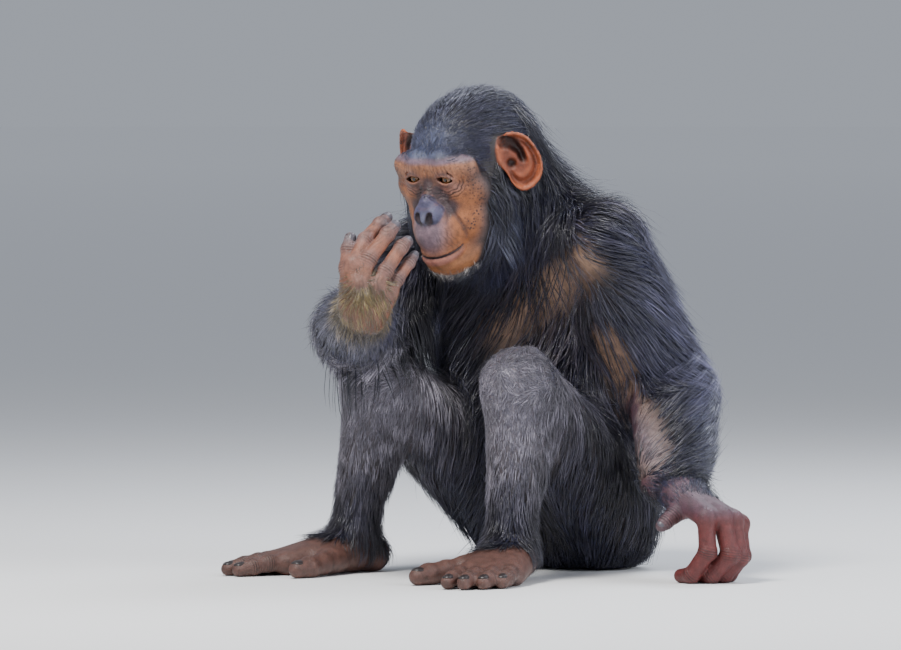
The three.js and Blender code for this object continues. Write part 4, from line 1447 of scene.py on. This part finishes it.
def coat_tones(p):
    """The hair's colour from place to place, with painted sheen on the forehead and the cheeks, painted light
    on the left arm and the far knee and painted shade on the belly.
    """
    tone = np.tile(np.array(linear(BLACK_HAIR), dtype=np.float32), (len(p), 1))
    q = on_head(p)
    cheek = smooth_step(q[:, 1], -5, 25) * smooth_step(-q[:, 2], 0, 30) * smooth_step(skull_field(q), 20, 8)
    chest = near_any(p, [seen(-30, 90, 280)], 70)
    right_forearm = near_any(p, [middle(ELBOW["right"], WRIST["right"], share) for share in (0, 0.7)], 55)
    # Painted light: the hair on the lit side of the left arm made paler.
    lit_side = [middle(SHOULDER["left"], ELBOW["left"], share) + seen(35, 20, 10) for share in (0.2, 0.6, 1)]
    lit_left_arm = near_any(p, lit_side, 62)
    belly = near_any(p, [seen(-85, 60, 235), seen(-60, 70, 195), seen(-90, 60, 275)], 52)
    forehead = bell(q[:, 0] + 4, 0, 26) * smooth_step(q[:, 2], 18, 26) * smooth_step(q[:, 1], 26, 42)
    for colour, mask in (
        # Painted sheen: the short forehead hair made lighter and bluish.
        (FOREHEAD_SHEEN_HAIR, 0.8 * forehead),
        (LIT_ARM_HAIR, lit_left_arm),
        (SHADED_HAIR, belly),
        (BROWN_HAIR, 0.7 * chest * (1 - belly)),
        # Painted sheen: the hair hanging down the cheeks made lighter and bluish.
        (CHEEK_SHEEN_HAIR, cheek),
        (FOREARM_HAIR, right_forearm),
        (KNEE_HAIR, over_knees(p)),
        # Painted light on the far knee's hair, which the forearm above leaves in shade.
        (LIT_FAR_KNEE_HAIR, near_any(p, [KNEE["right"]], 62)),
        (WRIST_HAIR, over_wrist(p)),
    ):
        tone = painted(tone, colour, np.clip(mask * (0.7 + 0.6 * dice.random(len(p))), 0, 1))
    return tone


# Hair: dark and glossy, with a cool bloom where light grazes it.
HAIR_BLOOM = "#9aa0dc"
bloom = {"Sheen_Weight": 0.18, "Sheen_Roughness": 0.4, "Sheen_Tint": (*linear(HAIR_BLOOM), 1)}
coat_hair, tree, shader = new_material("black_hair", Roughness=0.33, Specular_IOR_Level=0.8, **bloom)
tree.links.new(held(tree, "tone", "Color"), shader.inputs["Base Color"])

STRAY_SHARE = 0.05
CLUMP = 14


def coat_piece(name, roots, unrolled, flow, length, lift, width, steps=3, bunch=0.5, colour=None,
               free=False, vary=1.0):
    """One piece of the coat, combed from its roots. Length and lift may change from root to root, and
    every clump of locks and every lock is a little lighter or darker than the next."""
    n = len(roots)
    stray = dice.random(n) < STRAY_SHARE
    lengths = length * (0.75 + 0.5 * dice.random(n))
    lifts = lift * (0.12 + 0.88 * dice.random(n) ** 1.5) * np.where(stray, 1.7, 1)
    swerve = 0.22 * (2 * dice.random(n) - 1) * np.where(stray, 2, 1)
    if free:
        lines = hang(roots, flow(roots), lengths, steps, swerve)
        lengths = short_of_thin(lines, lengths)
        lines = hang(roots, flow(roots), lengths, steps, swerve)
    else:
        lines = comb(roots, flow, lengths, lifts, steps, swerve)
        shorter = short_of_thin(lines, lengths)
        cut = shorter < lengths
        lines[cut] = comb(roots[cut], flow, shorter[cut], lifts[cut] * 0.5, steps, swerve[cut])
    lines, clump = gather(lines, CLUMP, np.where(stray, 0, bunch * (0.3 + 0.7 * dice.random(n))))
    thick_enough, finer = clear_of_thin(lines)
    kept = clear_of_ears(lines) & thick_enough
    widths = width * (0.6 + 0.8 * dice.random(n)) * np.where(stray, 0.5, 1) * finer
    tones = coat_tones(roots) if colour is None else np.tile(linear(colour), (n, 1))
    by_clump = (0.45 + 2.0 * dice.random(n) ** 3)[clump]
    tones = tones * (1 + vary * (by_clump * (0.5 + dice.random(n)) - 1))[:, None]
    obj = lock_mesh(name, lines[kept], widths[kept], unrolled[kept], tones[kept])
    obj.data.materials.append(coat_hair)
    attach(obj, "root")


def head_roots(low, high, count, radius):
    """Roots over the head but for its bare face, where the edge is a little ragged."""
    ahead = from_head((0, 1, 0)) - HEAD_MIDDLE
    ends = from_head(low), from_head(high)
    roots, unrolled = roots_round(lambda p: skull_field(on_head(p)), *ends, ahead, count, radius)
    into_face = bareness(on_head(roots)) - 2.5 * dice.standard_normal(len(roots))
    return roots, unrolled, into_face


def head_flow(p):
    """Back over the crown, and down the temples and the cheeks to hang beside the chin."""
    q = on_head(p)
    drop = 0.2 + smooth_step(-q[:, 1], 10, 70) * 1.2 + smooth_step(-q[:, 2], -8, 30) * 3.4
    way = np.stack([q[:, 0] * 0.006, -np.ones(len(q)), -drop], 1).astype(np.float32)
    return way @ HEAD_AXES.T


def fringe_flow(p):
    """Down and a little back, as the long hair beside the face hangs."""
    q = on_head(p)
    way = np.stack([0.25 * np.sign(q[:, 0]), 0 * q[:, 0] - 0.25, 0 * q[:, 0] - 1.3], 1)
    return way.astype(np.float32) @ HEAD_AXES.T


def whisker_flow(p):
    """Out and down from the chin, and up and out over the brow."""
    q = on_head(p)
    rise = np.where(q[:, 2] > 0, 0.8, -1.2)
    return np.stack([q[:, 0] * 0.03, 0 * rise + 0.3, rise], 1).astype(np.float32) @ HEAD_AXES.T


roots, unrolled, into_face = head_roots((0, 10, -60), (0, -16, 20), 36000, 50)
q = on_head(roots)
high = q[:, 2] > 8
crown = (into_face < 0) & high
to_back = smooth_step(-q[:, 1], -55, 30)
in_front = smooth_step(q[:, 1], 10, 40)
coat_piece("coat_crown", roots[crown], unrolled[crown], head_flow, (14 + 32 * to_back)[crown],
           (2 + 7 * to_back)[crown], (1.1 - 0.3 * in_front)[crown], bunch=0.35, vary=0.8)
cheek = (into_face < 0) & ~high
hanging = smooth_step(q[:, 1], -45, 20)
share = dice.random(len(roots))
coat_piece("coat_cheeks", roots[cheek], unrolled[cheek], head_flow, (44 + 18 * hanging)[cheek],
           (12 + 4 * hanging)[cheek], 1.1)
near_edge = cheek & (np.abs(into_face + 17) < 9) & (q[:, 2] > -65) & (share < 0.4)
coat_piece("coat_cheek_fringe", roots[near_edge], unrolled[near_edge], fringe_flow, 46, 0, 0.9, free=True)
front, front_unrolled, past_brow = head_roots((-16, 26, 16), (16, 26, 16), 15000, 36)
on_front = on_head(front)
row = (past_brow < 1) & (past_brow > -30) & (on_front[:, 2] > 16) & (on_front[:, 1] > 24)
coat_piece("coat_forehead", front[row], front_unrolled[row], head_flow, 11, 2.4, 0.7, 2, 0.2, vary=0.7)
chin = (into_face > -5) & (q[:, 2] < -89 + 3 * dice.standard_normal(len(roots))) & (share < 0.75)
coat_piece("coat_chin", roots[chin], unrolled[chin], whisker_flow, 16, 10, 0.36, 2, 0.1, CHIN_HAIR)
brow = (into_face > 0) & (np.abs(q[:, 2] - 18) < 8) & (share < 0.16)
coat_piece("coat_brow", roots[brow], unrolled[brow], whisker_flow, 8, 3, 0.4, 2, 0.1, BLACK_HAIR)


def neck_flow(p):
    back = smooth_step(p[:, 1], -95, -30)
    return np.stack([p[:, 0] * 0.006 - 0.25 * (1 - back), 0.5 * back, -0.75 + 0 * back], 1)


def trunk_flow(p):
    """Down the back and the flanks, and down towards the middle of the belly in front."""
    front = smooth_step(-p[:, 1], 10, 60)
    return np.stack([p[:, 0] * 0.002 - 0.5 * front, 0.15 - 0.2 * front, -1 + 0 * front], 1)


roots, unrolled = roots_round(neck_field, (0, -56, 372), from_head((0, -30, -14)), (0, -1, 0), 13000, 62)
coat_piece("coat_neck", roots, unrolled, neck_flow, 70, 22, 1.5)
roots, unrolled = roots_round(trunk_field, (0, 5, 190), (0, -25, 335), (0, -1, 0), 12400, 85)
in_front = smooth_step(-roots[:, 1], 20, 70)
coat_piece("coat_trunk_upper", roots, unrolled, trunk_flow, 78, 19 + 12 * in_front, 1.6)
roots, unrolled = roots_round(trunk_field, (0, 15, 70), (0, 5, 190), (0, -1, 0), 9500, 85)
coat_piece("coat_trunk_lower", roots, unrolled, trunk_flow, 74, 17, 1.9)


def steady(way):
    """The same way for every root."""
    return lambda p: np.tile(way, (len(p), 1))


arm = limb_field["right"]["upper_arm"]
armpit = middle(SHOULDER["right"], ELBOW["right"], 0.15)
inner_arm = middle(SHOULDER["right"], ELBOW["right"], 0.6)
roots, unrolled = roots_round(arm, armpit, inner_arm, (0, -1, 0.1), 4600, 30)
under = off_skin(roots)[1] @ unit(place(0.5, 0, -1)) > 0.35
coat_piece("coat_under_arm", roots[under], unrolled[under], steady(place(0.15, 0, -1.2)), 66, 0, 1.4,
           colour=SHADED_HAIR, free=True)


def along_limb(start, end, lean=(0, 0, 0)):
    return steady(towards(start, end) + place(*lean))


def round_joint(start, joint, end, lean=(0, 0, 0)):
    """Along a bent limb, turning the corner at its joint without a whorl."""
    before, after = towards(start, joint), towards(joint, end)
    turn = unit(after - before)

    def flow(p):
        turned = smooth_step((p - place(*joint)) @ turn, -30, 30)[:, None]
        return before * (1 - turned) + after * turned + place(*lean)

    return flow


def propped_forearm_flow(p):
    """From the wrist out to the back of the arm, turning up towards the elbow as it rises."""
    upward = -0.25 + 0.95 * smooth_step(p[:, 2], 85, 150)
    return seen(0.75, -0.4, 0)[None] + upward[:, None] * up


raised_forearm_flow = along_limb(WRIST["right"], ELBOW["right"], (0, 0, -0.45))
forearm_flow = {"left": propped_forearm_flow, "right": raised_forearm_flow}
forearm_hair = {"left": (44, 15), "right": (26, 13)}
upper_arm_length = {"left": 62, "right": 44}
WRIST_REACH = {"left": 28, "right": 38}
for side in SIDES:
    fields = limb_field[side]
    shoulder, elbow, wrist = SHOULDER[side], ELBOW[side], WRIST[side]
    hip, knee, ankle = HIP[side], KNEE[side], ANKLE[side]
    front = (0, -1, 0.1)
    roots, unrolled = roots_round(fields["upper_arm"], shoulder, elbow, front, 7600, 36)
    outward = seen(0.35, -0.3, 0) if side == "left" else place(-0.2, 0.1, -0.5)
    arm_flow = round_joint((0, -50, 385), shoulder, elbow, outward)
    coat_piece(f"coat_upper_arm_{side}", roots, unrolled, arm_flow, upper_arm_length[side], 17, 1.5)

    roots, unrolled = roots_round(fields["forearm"], elbow, wrist, front, 7300, 30)
    before = past_end(roots, elbow, wrist) < -2
    length, lift = forearm_hair[side]
    coat_piece(f"coat_forearm_{side}", roots[before], unrolled[before], forearm_flow[side], length, lift, 1.2)

    knuckle = KNUCKLES[side]["middle"][0]
    roots, unrolled = roots_round(arm_and_hand(side), middle(wrist, elbow, 0.1), middle(wrist, knuckle, 0.7),
                                  front, 5600, 24)
    along = (roots - place(*wrist)) @ towards(wrist, knuckle)
    along = along + 5 * dice.standard_normal(len(roots))
    short = (along < WRIST_REACH[side]) & (along > -22)
    coat_piece(f"coat_wrist_{side}", roots[short], unrolled[short], round_joint(knuckle, wrist, elbow), 15, 4,
               0.8, 2, 0.3, vary=0.6)

    thigh_flow = round_joint(hip, knee, ankle, (0, 0, -0.25))
    leg = together(14, fields["thigh"], fields["shin"])
    roots, unrolled = roots_round(fields["thigh"], hip, knee, front, 6500, 48)
    shorter = 1 - 0.8 * np.clip(over_knees(roots) * 1.3, 0, 1)
    coat_piece(f"coat_thigh_{side}", roots, unrolled, thigh_flow, 46 * shorter, 13 * shorter,
               1.6 - 0.9 * (1 - shorter), vary=0.3 + 0.7 * shorter)
    roots, unrolled = roots_round(fields["shin"], knee, ankle, front, 6500, 32)
    before = past_end(roots, knee, ankle) < 0
    roots, unrolled = roots[before], unrolled[before]
    shorter = 1 - 0.75 * np.clip(over_knees(roots) * 1.3, 0, 1)
    coat_piece(f"coat_shin_{side}", roots, unrolled, along_limb(knee, ankle, (0, 0, -0.3)), 36 * shorter,
               9 * shorter, 1.3 - 0.6 * (1 - shorter), vary=0.3 + 0.7 * shorter)
    roots, unrolled = roots_round(leg, place(*knee) + place(0, 6, -24), place(*knee) + place(0, 4, 4),
                                  front, 9000, 34)
    short = over_knees(roots) > 0.3
    coat_piece(f"coat_knee_{side}", roots[short], unrolled[short], round_joint(hip, knee, ankle), 8, 2,
               0.8, 2, 0.1, vary=0.5)


# Floor and light. A pale matt sheet, in metres, runs under the animal and off to the horizon, where it
# grows as pale as the studio behind it. Broad soft lamps stand round it: one from the front, one to fill
# the shade and one from behind to edge the hair.
REACH = 150
PALER_FAR_OFF = {"From_Min": 2, "From_Max": 30, "To_Min": 0.86, "To_Max": 0.98}
LIT_SPOT = (0, 0, 0.28)
floor_mesh = bpy.data.meshes.new("floor")
edge = [(-REACH, -REACH, 0), (REACH, -REACH, 0), (REACH, REACH, 0), (-REACH, REACH, 0)]
floor_mesh.from_pydata(edge, [], [(0, 1, 2, 3)])
floor = bpy.data.objects.new("floor", floor_mesh)
bpy.context.scene.collection.objects.link(floor)
floor_paint, tree, shader = new_material("pale_floor", Roughness=0.85, Specular_IOR_Level=0)
spot = add_node(tree, "ShaderNodeTexCoord")
away = add_node(tree, "ShaderNodeVectorMath", {0: spot.outputs["Object"]}, operation="LENGTH")
pale = add_node(tree, "ShaderNodeMapRange", {"Value": away.outputs["Value"]}, **PALER_FAR_OFF)
tree.links.new(pale.outputs["Result"], shader.inputs["Base Color"])
floor_mesh.materials.append(floor_paint)

sky = bpy.data.worlds.new("studio")
sky.use_nodes = True
backdrop = sky.node_tree.nodes["Background"]
backdrop.inputs["Color"].default_value = (0.82, 0.88, 1.0, 1)
backdrop.inputs["Strength"].default_value = 0.45
bpy.context.scene.world = sky


def lamp(name, across, near, up, width, power, colour):
    data = bpy.data.lights.new(name, "AREA")
    data.shape = "DISK"
    data.size = width
    data.energy = power
    data.color = colour
    obj = bpy.data.objects.new(name, data)
    spot = Vector(seen(across, near, up) * MM)
    obj.location = spot
    obj.rotation_euler = (Vector(LIT_SPOT) - spot).to_track_quat("-Z", "Y").to_euler()
    bpy.context.scene.collection.objects.link(obj)


lamp("key", -700, 1100, 1900, 0.8, 56, (1.0, 0.98, 0.95))
lamp("fill", 1600, 1000, 1000, 1.4, 26, (0.9, 0.94, 1.0))
lamp("rim", 900, -1100, 1900, 1.0, 32, (0.85, 0.9, 1.0))
